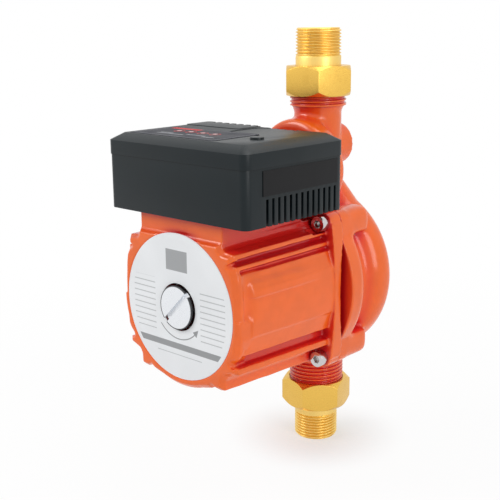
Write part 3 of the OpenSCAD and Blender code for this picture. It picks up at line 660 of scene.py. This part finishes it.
@dataclass(frozen=True)
class Film(Finish):
    """The printed control film with a border, rings round the lenses, bars and one block.

    Lengths are in millimetres. A bar is its centre and half width across, and the red block's second pair
    runs along the motor axis.
    """

    red: Colour = (0.55, 0.02, 0.02)
    pale: Colour = (0.62, 0.64, 0.68)
    inset: float = 2.2
    ring_r: float = 2.9
    bars: tuple[Span, ...] = ((-24.0, 5.0), (-19.0, 10.0), (-2.0, 7.0), (9.0, 4.5))
    bar_y: float = -98.0
    bar_row: float = 2.6
    block: tuple[Span, Span] = ((-27.0, 11.0), (-80.5, 2.2))

    def paint(self, graph: Graph) -> None:
        """Adds the finish's nodes.

        Args:
            graph: the material's graph.
        """
        x, y, _ = graph.axes()
        across, along = (
            abs(place - centre) - (size / 2 - self.inset)
            for place, centre, size in zip((x, y), FILM_CENTRE, FILM_SIZE)
        )
        border = across.most(along).near(0.0, 0.16)
        steps = (number - (LENS_COUNT - 1) / 2 for number in range(LENS_COUNT))
        lenses = (FILM_CENTRE[0] + step * LENS_PITCH for step in steps)
        rings = reduce(Sock.most, (
            (((x - lens) ** 2.0 + (y - LENS_Y) ** 2.0) ** 0.5).near(self.ring_r, 0.3) for lens in lenses
        ))
        bars = reduce(Sock.most, (
            x.near(*bar) * y.near(self.bar_y - self.bar_row * (number % 2), 0.32)
            for number, bar in enumerate(self.bars)
        ))
        block = x.near(*self.block[0]) * y.near(*self.block[1])
        shine = graph.noise(14.0)
        ground = graph.blend(shine.rise(0.35, 0.65), self.tone(0.9), self.tone(1.12))
        with_red = graph.blend(rings.most(block), ground, self.red)
        graph.put(
            Base_Color=graph.blend(bars.most(border * 0.45), with_red, self.pale),
            Roughness=shine.rise(0.3, 0.7, self.rough - 0.04, self.rough + 0.05),
            Specular_IOR_Level=0.15,
            Normal=graph.relief((graph.noise(0.6), 0.004), (shine, 0.03)),
        )


@dataclass(frozen=True)
class Board(Finish):
    """Solder mask over fine copper tracks.

    Attributes:
        track: height of a track in millimetres.
    """

    track: float = 0.03

    def paint(self, graph: Graph) -> None:
        """Adds the finish's nodes.

        Args:
            graph: the material's graph.
        """
        tracks = graph.cells(4.0).rise(0.30, 0.38) * graph.noise(11.0).rise(0.42, 0.5)
        graph.put(
            Base_Color=graph.blend(tracks, self.colour, self.tone(1.7)),
            Roughness=self.rough,
            Normal=graph.relief((tracks, self.track)),
        )


class Finishes:
    """The finishes of the pump, by the record's material slots and by node."""

    ORANGE: Colour = (0.88, 0.135, 0.010)
    THREAD_BRASS = Turned(
        "thread_brass", (0.88, 0.62, 0.19), 0.42, stain_and_shade=(0.74, 0.47, 0.11), marks=0.0, stain=0.0
    )

    BASIC: tuple[Finish, ...] = (
        Enamel("orange_enamel", ORANGE, 0.22),
        Enamel("orange_alloy", ORANGE, 0.22),
        Turned("brass", (0.79, 0.49, 0.10), 0.3, stain_and_shade=(0.52, 0.29, 0.045), marks=0.002, stain=0.2),
        Turned(
            "bright_steel", (0.74, 0.75, 0.77), 0.24, Axis.MOTOR, (0.36, 0.36, 0.37), stain=0.1
        ),
        Turned("zinc_steel", (0.56, 0.55, 0.53), 0.33, Axis.MOTOR, (0.26, 0.25, 0.24)),
        Laminated("lamination", (0.30, 0.30, 0.32), 0.4),
        Laminated("winding", (0.55, 0.20, 0.06), 0.35, sheet=0.9, metal=0.6),
        Moulded("carbon", (0.03, 0.03, 0.032), 0.35, grain=0.2, depth=0.006),
        Moulded("black_rubber", (0.018, 0.018, 0.018), 0.7, grain=0.5, depth=0.03),
        Moulded("impeller_plastic", (0.55, 0.50, 0.40), 0.5),
        Moulded(
            "box_plastic", (0.0015, 0.0060, 0.0082), 0.40, grain=0.3, depth=0.01, gloss=0.30
        ),
        Film("film_gloss", (0.014, 0.015, 0.024), 0.5),
        Moulded(
            "plate_gloss", (0.005, 0.005, 0.006), 0.36, grain=0.8, depth=0.002, gloss=0.2
        ),
        Disc("label_silver", (0.84, 0.86, 0.88), 0.42),
        Board("board_green", (0.02, 0.14, 0.05), 0.35),
        Moulded("can_blue", (0.02, 0.03, 0.16), 0.3, coat=0.2),
        Moulded("lens_red", (0.55, 0.012, 0.01), 0.15, grain=0.9, depth=0.004, coat=0.6),
        Moulded("lead_red", (0.42, 0.015, 0.01), 0.4),
        Moulded("block_white", (0.62, 0.62, 0.58), 0.45),
    )
    BY_SLOT: dict[str, Finish] = {finish.name: finish for finish in BASIC}

    BY_NODE: dict[str, Finish] = {
        "vent_plug": Knob("plug_steel", (0.80, 0.82, 0.85), 0.3, Axis.MOTOR, marks=0.001, stain=0.0),
        "flange_screws": Turned("screw_steel", (0.60, 0.58, 0.58), 0.15, marks=0.001, stain=0.0),
        "inlet_tail": THREAD_BRASS,
        "outlet_tail": THREAD_BRASS,
    }

    @classmethod
    def dress(cls, thing: bpy.types.Object, slot: str, node: str = "") -> None:
        """Gives an object one finish as its only material.

        Args:
            thing: the object.
            slot: the material slot of the record.
            node: the CAD node it replaces, which may have a finish of its own.
        """
        finish = cls.BY_NODE.get(node, cls.BY_SLOT[slot]).material()
        thing.data.materials.clear()
        thing.data.materials.append(finish)
        for face in thing.data.polygons:
            face.material_index = 0


class Shop:
    """Makes new meshes in the row frame and hands them to the frame."""

    WELD = 0.002

    def __init__(self, frame: dict[str, Any]) -> None:
        """Keeps the frame and the material slot of each node."""
        self.frame = frame
        self.slots = {part["node"]: part["material_slot"] for part in frame["record"]["subparts"]}

    def copy_of(self, node: str, name: str) -> bpy.types.Object:
        """Makes one welded copy of a node's CAD mesh.

        Args:
            node: the CAD node.
            name: name of the copy.

        Returns:
            The copy, linked to the scene.
        """
        copy = bmesh.new()
        copy.from_mesh(self.frame["nodes"][node].data)
        bmesh.ops.remove_doubles(copy, verts=copy.verts, dist=self.WELD * MM)
        return self.object_of(copy, name)

    @staticmethod
    def object_of(mesh: bmesh.types.BMesh, name: str) -> bpy.types.Object:
        """Turns a bmesh into an object in the scene and frees it.

        Args:
            mesh: the bmesh.
            name: name of the object.

        Returns:
            The object.
        """
        data = bpy.data.meshes.new(name)
        mesh.to_mesh(data)
        mesh.free()
        made = bpy.data.objects.new(name, data)
        bpy.context.scene.collection.objects.link(made)
        return made

    @classmethod
    def skin(cls, rings: Sequence[Ring], angles: np.ndarray, closed: bool, name: str) -> bpy.types.Object:
        """Covers rings of points round the pipe axis with faces.

        Args:
            rings: height and radius of each ring in millimetres, or a radius for each of its points.
            angles: angles of a ring's points.
            closed: true where the last ring joins the first.
            name: name of the object.

        Returns:
            The object.
        """
        mesh = bmesh.new()
        grid = []
        for height, radii in rings:
            around = zip(np.broadcast_to(radii, angles.shape), angles)
            points = (Vector((r * math.cos(a), r * math.sin(a), height)) * MM for r, a in around)
            grid.append([mesh.verts.new(point) for point in points])
        for row, upper in zip(grid, grid[1:] + grid[:1] if closed else grid[1:]):
            for i in range(len(row)):
                j = (i + 1) % len(row)
                mesh.faces.new((row[i], row[j], upper[j], upper[i]))
        bmesh.ops.recalc_face_normals(mesh, faces=mesh.faces)
        return cls.object_of(mesh, name)

    @staticmethod
    def bake(thing: bpy.types.Object) -> None:
        """Applies all modifiers of an object.

        Args:
            thing: the object.
        """
        graph = bpy.context.evaluated_depsgraph_get()
        graph.update()
        data = bpy.data.meshes.new_from_object(thing.evaluated_get(graph))
        thing.modifiers.clear()
        old = thing.data
        thing.data = data
        bpy.data.meshes.remove(old)

    @staticmethod
    def points_of(thing: bpy.types.Object) -> np.ndarray:
        """Reads the vertices of an object.

        Args:
            thing: the object.

        Returns:
            Their places in metres, one row a vertex.
        """
        places = np.empty(len(thing.data.vertices) * 3)
        thing.data.vertices.foreach_get("co", places)
        return places.reshape(-1, 3)

    @staticmethod
    def move_points(thing: bpy.types.Object, points: np.ndarray) -> None:
        """Puts the vertices of an object in new places."""
        thing.data.vertices.foreach_set("co", points.ravel())
        thing.data.update()

    @staticmethod
    def smooth_shade(thing: bpy.types.Object, angle: float) -> None:
        """Shades smoothly across edges below an angle in degrees."""
        thing.data.polygons.foreach_set("use_smooth", [True] * len(thing.data.polygons))
        thing.data.set_sharp_from_angle(angle=math.radians(angle))

    @staticmethod
    def hand_over(thing: bpy.types.Object, body: Body, slot: str, node: str = "") -> None:
        """Dresses a piece and hands it to the frame.

        Args:
            thing: the piece.
            body: the body it rides on.
            slot: its material slot.
            node: the CAD node that it replaces, if any.
        """
        Finishes.dress(thing, slot, node)
        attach(thing, body.value)
        if node:
            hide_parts(node)


@dataclass(frozen=True)
class Ridge:
    """A soft ridge along both side pads of the motor housing, in millimetres.

    Attributes:
        low, high: heights of its crisp lower and its rounded upper edge.
        front, back: its front end along the motor axis, and where it has run out into the pad.
        proud: how far it stands out.
        inner: distance from the middle plane beyond which the pads lie.
        edges: widths of its lower, upper, front and back edges.
    """

    low: float = 120.0
    high: float = 130.0
    front: float = -108.0
    back: float = -50.0
    proud: float = 1.0
    inner: float = 41.0
    edges: tuple[float, float, float, float] = (0.8, 3.0, 3.0, 25.0)

    def raise_on(self, thing: bpy.types.Object) -> None:
        """Moves the vertices of the pads outwards.

        Args:
            thing: the motor housing.
        """
        points = Shop.points_of(thing)
        x, y, z = points.T / MM
        lower, upper, front, back = self.edges
        share = ramp(z - self.low, lower) * ramp(self.high - z, upper)
        share *= ramp(y - self.front, front) * ramp(self.back - y, back)
        share *= ramp(np.abs(x) - self.inner, 1.0)
        points[:, 0] += np.sign(x) * ease(share) * self.proud * MM
        Shop.move_points(thing, points)


@dataclass(frozen=True)
class Melt:
    """A part of a casting whose corners run into each other in wide fillets, in millimetres.

    Attributes:
        front, back: where it starts and ends along the motor axis.
        foot, head: its lowest and highest height.
        inner: distance from the motor axis beyond which it lies.
        edges: widths of its inner, front and back edge, and of its lower and upper ones.
        passes: relaxing passes.
        step: share of the way to its neighbours' middle that a vertex moves in a pass.
    """

    front: float
    back: float
    foot: float = -1000.0
    head: float = 1000.0
    inner: float = 40.0
    edges: tuple[float, float, float, float] = (3.0, 2.0, 4.0, 2.0)
    passes: int = 90
    step: float = 0.5

    def relax(self, thing: bpy.types.Object) -> None:
        """Draws every vertex towards its neighbours, strongly within the range.

        Args:
            thing: the casting.
        """
        points = Shop.points_of(thing)
        x, y, z = points.T / MM
        inner, front, back, level = self.edges
        out = ramp(np.hypot(x, z - AXIS_Z) - self.inner, inner)
        weight = out * ramp(y - self.front, front) * ramp(self.back - y, back)
        weight *= ramp(z - self.foot, level) * ramp(self.head - z, level)
        links = np.empty(len(thing.data.edges) * 2, dtype=np.int64)
        thing.data.edges.foreach_get("vertices", links)
        first, second = links.reshape(-1, 2).T
        count = np.maximum(np.bincount(links, minlength=len(weight)), 1)[:, None]
        for _ in range(self.passes):
            total = np.zeros_like(points)
            for axis in range(3):
                total[:, axis] = np.bincount(first, points[second, axis], len(weight))
                total[:, axis] += np.bincount(second, points[first, axis], len(weight))
            points = points + (total / count - points) * (self.step * weight)[:, None]
        Shop.move_points(thing, points)


class Piece:
    """A piece that is built anew."""

    def build(self, shop: Shop) -> bpy.types.Object:
        """Builds the piece in the shop and hands it to the frame."""
        raise NotImplementedError


@dataclass(frozen=True)
class Casting(Piece):
    """A CAD node remeshed and relaxed so that its edges are soft as on a casting.

    Attributes:
        node: the CAD node.
        voxel: size of the remesh in millimetres.
        passes: smoothing passes.
        tucks: height ranges where a port thread lies over the casting, in millimetres.
        melt, ridge: where its corners run into each other, and the ridge on its pads.
        tuck_r, tuck_reach: radius in millimetres that a tuck draws the surface in to, and its reach.
    """

    node: str
    voxel: float
    passes: int
    tucks: tuple[Span, ...] = ()
    melt: Melt | None = None
    ridge: Ridge | None = None
    tuck_r: float = 14.4
    tuck_reach: float = 1.3 * PORT_THREAD_R

    def tuck(self, thing: bpy.types.Object) -> None:
        """Draws the surface in under the port threads so that they cover it.

        Args:
            thing: the casting.
        """
        points = Shop.points_of(thing)
        radius = np.hypot(points[:, 0], points[:, 1])
        for low, high in self.tucks:
            inside = (points[:, 2] > low * MM) & (points[:, 2] < high * MM)
            inside &= (radius > self.tuck_r * MM) & (radius < self.tuck_reach * MM)
            points[inside, :2] *= (self.tuck_r * MM / radius[inside])[:, None]
        Shop.move_points(thing, points)

    def build(self, shop: Shop) -> bpy.types.Object:
        """Builds the piece and puts it in the node's place.

        Args:
            shop: where it is made.

        Returns:
            The piece.
        """
        thing = shop.copy_of(self.node, self.node + "_soft")
        remesh = thing.modifiers.new("remesh", "REMESH")
        remesh.mode = "VOXEL"
        remesh.voxel_size = self.voxel * MM
        smooth = thing.modifiers.new("smooth", "SMOOTH")
        smooth.factor = 0.5
        smooth.iterations = self.passes
        shop.bake(thing)
        if self.melt:
            self.melt.relax(thing)
        if self.ridge:
            self.ridge.raise_on(thing)
        self.tuck(thing)
        shop.smooth_shade(thing, 180.0)
        shop.hand_over(thing, Body.PUMP, shop.slots[self.node], self.node)
        return thing


@dataclass(frozen=True)
class Edged(Piece):
    """A CAD node with its hard edges rounded by a real bevel.

    Attributes:
        node: the CAD node.
        body: the body it rides on.
        width: width of the rounding in millimetres.
        angle: edges sharper than this many degrees are rounded.
    """

    node: str
    body: Body
    width: float
    angle: float = 32.0

    def build(self, shop: Shop) -> bpy.types.Object:
        """Builds the piece and puts it in the node's place.

        Args:
            shop: where it is made.

        Returns:
            The piece.
        """
        thing = shop.copy_of(self.node, self.node + "_edged")
        bevel = thing.modifiers.new("bevel", "BEVEL")
        bevel.limit_method = "ANGLE"
        bevel.angle_limit = math.radians(self.angle)
        bevel.width = self.width * MM
        bevel.segments = 3
        shop.bake(thing)
        shop.smooth_shade(thing, 40.0)
        shop.hand_over(thing, self.body, shop.slots[self.node], self.node)
        return thing


@dataclass(frozen=True)
class ThreadedTail(Piece):
    """A brass tailpiece with a helical pipe thread, a plain neck and its sealing collar.

    Lengths are in millimetres. The crest and both flanks are shares of the pitch, soft is how far a flank
    is rounded, lead is how much longer than deep the chamfer is, and gap keeps the neck off the collar.
    """

    node: str
    flipped: bool
    thread_r: float = 13.22
    thread_len: float = 16.4
    pitch: float = 1.814
    depth: float = 1.16
    crest: float = 0.14
    flanks: float = 0.72
    soft: float = 0.35
    run_out: float = 1.6
    lead: float = 0.15
    neck_end: float = 24.5
    end: float = 27.5
    gap: float = 0.05
    collar_r: float = 14.7
    bore_r: float = 10.0
    corner: float = 0.3
    around: int = 144
    rows: int = 14

    def radius(self, height: float, angles: np.ndarray) -> np.ndarray:
        """Radius of the threaded outside.

        Args:
            height: height above the end face in millimetres.
            angles: angles round the axis.

        Returns:
            The radii in millimetres.
        """
        turns = (height - self.pitch * angles / (2 * math.pi)) / self.pitch
        groove = ramp(2 * np.abs(turns - np.round(turns)) - self.crest, self.flanks)
        groove = ease(groove) * self.soft + groove * (1 - self.soft)
        fade = ramp(self.thread_len - height, self.run_out)
        chamfer = self.depth + self.lead
        start = ramp(chamfer - height, chamfer) * self.depth
        return self.thread_r - np.maximum(groove * fade * self.depth, start)

    def build(self, shop: Shop) -> bpy.types.Object:
        """Builds the piece and puts it in the node's place.

        Args:
            shop: where it is made.

        Returns:
            The piece.
        """
        heights = np.arange(0.0, self.thread_len, self.pitch / self.rows)
        heights = np.append(heights, (self.thread_len, self.neck_end - self.gap))
        angles = np.linspace(0, 2 * math.pi, self.around, endpoint=False)
        rings: list[Ring] = [(height, self.radius(height, angles)) for height in heights]
        rings += [
            (self.neck_end, self.thread_r), (self.neck_end, self.collar_r - self.corner),
            (self.neck_end + self.corner, self.collar_r), (self.end - self.corner, self.collar_r),
            (self.end, self.collar_r - self.corner), (self.end, self.bore_r + self.corner),
            (self.end - self.corner, self.bore_r), (2 * self.corner, self.bore_r),
            (0.0, self.bore_r + 2 * self.corner),
        ]
        if self.flipped:
            rings, angles = [(PUMP_HEIGHT - height, radius) for height, radius in rings], -angles
        thing = shop.skin(rings, angles, True, self.node + "_threaded")
        shop.smooth_shade(thing, 40.0)
        shop.hand_over(thing, Body.PUMP, shop.slots[self.node], self.node)
        return thing


@dataclass(frozen=True)
class PortThread(Piece):
    """The painted helical thread of one port, a sleeve over the casting.

    Lengths are in millimetres. The paint leaves less depth and a lower crest, and the thread starts over
    the lead and fades over the run-out.
    """

    name: str
    face_z: float
    length: float
    down: bool
    pitch: float = 2.309
    depth: float = 0.95
    crest: float = 0.2
    flanks: float = 0.62
    lead: float = 1.4
    run_out: float = 1.5
    lead_depth: float = 0.8
    core_r: float = 14.0
    paint: float = 0.12
    around: int = 160
    rows: int = 12

    def build(self, shop: Shop) -> bpy.types.Object:
        """Builds the sleeve and hands it to the pump's body.

        Args:
            shop: where it is made.

        Returns:
            The sleeve.
        """
        angles = np.linspace(0, 2 * math.pi, self.around, endpoint=False)
        rings: list[Ring] = [(0.0, self.core_r)]
        for height in np.arange(0.0, self.length, self.pitch / self.rows):
            turns = height / self.pitch - angles / (2 * math.pi)
            groove = ease(ramp(2 * np.abs(turns - np.round(turns)) - self.crest, self.flanks))
            start = max(0.0, 1.0 - height / self.lead) * self.depth * self.lead_depth
            fade = ramp(self.length - height, self.run_out)
            cut = np.maximum(groove * self.depth * fade, start)
            rings.append((height, PORT_THREAD_R - self.paint - cut))
        rings.append((self.length, self.core_r))
        sign = 1.0 if self.down else -1.0
        placed = [(self.face_z + sign * height, radius) for height, radius in rings]
        thing = shop.skin(placed, sign * angles, False, self.name)
        shop.smooth_shade(thing, 50.0)
        shop.hand_over(thing, Body.PUMP, shop.slots["casing"])
        return thing


@dataclass(frozen=True)
class SubAssembly:
    """One sub-assembly of the pump.

    Attributes:
        nodes: the CAD nodes that belong to it.
        pieces: the pieces that are built anew, each with its sizes in millimetres.
    """

    nodes: tuple[str, ...]
    pieces: tuple[Piece, ...]

    def build(self, shop: Shop) -> None:
        """Builds the new pieces and dresses the CAD nodes.

        Args:
            shop: where the pieces are made.
        """
        for piece in self.pieces:
            thing = piece.build(shop)
            LOG.info("%s: %d faces", thing.name, len(thing.data.polygons))
        for name in self.nodes:
            Finishes.dress(shop.frame["nodes"][name], shop.slots[name])
            LOG.info("%s: dressed in %s", name, shop.slots[name])


@dataclass(frozen=True)
class WetEnd(SubAssembly):
    """The volute casing with its port threads, the flap and the flow sensor."""

    nodes: tuple[str, ...] = ("casing", "neck_ring", "casing_gasket", "flow_flap", "flap_pin", "flow_sensor")
    pieces: tuple[Piece, ...] = (
        Casting(
            "casing", voxel=0.6, passes=4, melt=Melt(front=-27.0, back=4.0),
            tucks=((INLET_FACE_Z + 0.3, 53.0), (207.0, OUTLET_FACE_Z - 0.3)),
        ),
        PortThread("inlet_port_thread", INLET_FACE_Z, length=23.8, down=True),
        PortThread("outlet_port_thread", OUTLET_FACE_Z, length=14.8, down=False),
        Edged("flow_sensor", Body.PUMP, width=0.3),
    )


@dataclass(frozen=True)
class Unions(SubAssembly):
    """The brass tailpieces and union nuts at both ports."""

    nodes: tuple[str, ...] = (
        "inlet_tail", "inlet_washer", "inlet_nut", "outlet_tail", "outlet_washer", "outlet_nut",
    )
    pieces: tuple[Piece, ...] = (
        Edged("inlet_nut", Body.INLET_UNION, width=0.35, angle=20.0),
        Edged("outlet_nut", Body.OUTLET_UNION, width=0.35, angle=20.0),
        ThreadedTail("inlet_tail", flipped=False),
        ThreadedTail("outlet_tail", flipped=True),
    )


@dataclass(frozen=True)
class Motor(SubAssembly):
    """The ribbed motor housing with its label, vent plug, screws and inner works."""

    nodes: tuple[str, ...] = (
        "motor_housing", "flange_screws", "rating_disc", "vent_plug", "vent_plug_seal", "bearing_plate",
        "front_bearing", "rear_bearing", "rotor_can", "stator_core", "stator_windings", "rotor_core",
        "shaft", "thrust_washer", "impeller", "impeller_shroud",
    )
    pieces: tuple[Piece, ...] = (
        Casting(
            "motor_housing", voxel=0.55, passes=3, ridge=Ridge(),
            melt=Melt(front=-111.0, back=-97.0, foot=108.3, head=133.7),
        ),
        Edged("flange_screws", Body.PUMP, width=0.25),
        Edged("vent_plug", Body.PLUG, width=0.3),
    )


@dataclass(frozen=True)
class ControlBox(SubAssembly):
    """The control box with its lid, button, film, board and cable gland."""

    nodes: tuple[str, ...] = (
        "box_base", "box_lid", "box_screws", "lead_grommet", "motor_leads", "circuit_board", "capacitor",
        "terminal_block", "indicator_lenses", "mode_button", "button_spring", "control_film", "side_plate",
        "gland_body", "gland_seal", "gland_nut",
    )
    pieces: tuple[Piece, ...] = (
        Edged("box_base", Body.PUMP, width=0.35),
        Edged("box_lid", Body.PUMP, width=0.35),
        Edged("mode_button", Body.BUTTON, width=0.25),
        Edged("gland_body", Body.PUMP, width=0.3),
        Edged("gland_nut", Body.GLAND, width=0.4),
    )


@dataclass(frozen=True)
class Lamp:
    """A soft rectangular lamp: its place, target and size in metres, and its power in watts."""

    name: str
    place: Colour
    target: Colour
    size: Span
    power: float

    def build(self) -> None:
        """Adds the lamp to the scene."""
        data = bpy.data.lights.new(self.name, "AREA")
        data.shape = "RECTANGLE"
        data.size, data.size_y = self.size
        data.energy = self.power
        lamp = bpy.data.objects.new(self.name, data)
        lamp.location = self.place
        direction = Vector(self.target) - Vector(self.place)
        lamp.rotation_euler = direction.to_track_quat("-Z", "Y").to_euler()
        bpy.context.scene.collection.objects.link(lamp)


@dataclass(frozen=True)
class Camera:
    """The camera at the photograph's place.

    Its place and film are in millimetres, its turns in degrees, and its focal length and sideways shift
    are shares of the picture's width.
    """

    place: tuple[float, float, float] = (350.2, -437.1, 254.6)
    yaw: float = 43.24
    pitch: float = 13.6
    roll: float = -0.65
    focal: float = 943.2 / 500
    shift: float = 0.0116
    film: float = 36.0

    def build(self) -> None:
        """Adds the camera to the scene."""
        yaw, pitch, roll = (math.radians(angle) for angle in (self.yaw, self.pitch, self.roll))
        level = math.cos(pitch)
        forward = Vector((-math.sin(yaw) * level, math.cos(yaw) * level, -math.sin(pitch)))
        right = Vector((math.cos(yaw), math.sin(yaw), 0.0))
        up = right.cross(forward)
        right, up = right * math.cos(roll) + up * math.sin(roll), up * math.cos(roll) - right * math.sin(roll)
        data = bpy.data.cameras.new("camera")
        data.sensor_width = self.film
        data.lens = self.focal * self.film
        data.shift_x = self.shift
        data.clip_start = 0.01
        camera = bpy.data.objects.new("camera", data)
        turn = Matrix((right, up, -forward)).transposed().to_4x4()
        camera.matrix_world = Matrix.Translation(Vector(self.place) * MM) @ turn
        bpy.context.scene.collection.objects.link(camera)
        bpy.context.scene.camera = camera


@dataclass(frozen=True)
class Studio:
    """The floor, the world, the lamps and the camera.

    The floor's white share rises from the first glow to the second over the near distances from the foot,
    and to one over the far ones, in millimetres. Its half width is in metres.
    """

    lamps: tuple[Lamp, ...] = (
        Lamp("key", (-0.75, -0.95, 1.05), (0.0, -0.05, 0.12), (0.7, 0.7), 10.5),
        Lamp("side", (1.15, -0.25, 0.55), (0.0, -0.03, 0.12), (0.5, 0.9), 5.6),
        Lamp("top", (0.1, 0.25, 1.2), (0.0, -0.05, 0.12), (0.8, 0.6), 3.6),
    )
    world_level: float = 0.36
    floor_half: float = 6.0
    floor_colour: Colour = (0.86, 0.86, 0.86)
    glow: Span = (0.5, 0.94)
    near: Span = (14.0, 60.0)
    far: Span = (60.0, 500.0)

    def build(self) -> None:
        """Builds the whole studio."""
        self.world()
        self.floor()
        for lamp in self.lamps:
            lamp.build()
            LOG.info("lamp %s: %.1f W", lamp.name, lamp.power)
        Camera().build()

    def world(self) -> None:
        """A plain white world: soft light on the object, white to the camera."""
        graph = Graph(bpy.data.worlds.new("studio"))
        bpy.context.scene.world = graph.owner
        light = graph.tree.nodes["Background"]
        graph.feed(light.inputs["Color"], WHITE)
        graph.feed(light.inputs["Strength"], self.world_level)
        seen = graph.node("ShaderNodeBackground", {"Color": WHITE, "Strength": 1.0})
        graph.show("World Output", graph.seen_directly(), light, seen)

    def floor(self) -> None:
        """A wide pale floor under the inlet, which keeps the object's shadow."""
        mesh = bmesh.new()
        bmesh.ops.create_grid(mesh, x_segments=2, y_segments=2, size=self.floor_half)
        floor = Shop.object_of(mesh, "floor")
        graph = Graph(bpy.data.materials.new("floor"))
        pale = graph.noise(400.0).rise(0.0, 1.0, 0.98, 1.0)
        graph.put(
            Base_Color=graph.blend(pale, (0.8, 0.8, 0.8), self.floor_colour),
            Roughness=0.7,
            Specular_IOR_Level=0.2,
        )
        x, y, _ = graph.axes()
        away = (x * x + y * y) ** 0.5
        white = away.rise(*self.near, *self.glow) + away.rise(*self.far, 0.0, 1 - self.glow[1])
        light = graph.node("ShaderNodeEmission", {"Color": WHITE, "Strength": 1.0})
        matt = graph.tree.nodes["Principled BSDF"]
        graph.show("Material Output", white * graph.seen_directly(), matt, light)
        floor.data.materials.append(graph.owner)


def main() -> None:
    """Builds the pump, one sub-assembly after the other, and the studio round it."""
    logging.basicConfig(level=logging.INFO, format="%(name)s: %(message)s")
    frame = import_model()
    bpy.context.scene.view_settings.view_transform = "Standard"
    shop = Shop(frame)
    for part in (WetEnd(), Unions(), Motor(), ControlBox()):
        part.build(shop)
    Studio().build()


if __name__ == "__main__":
    main()
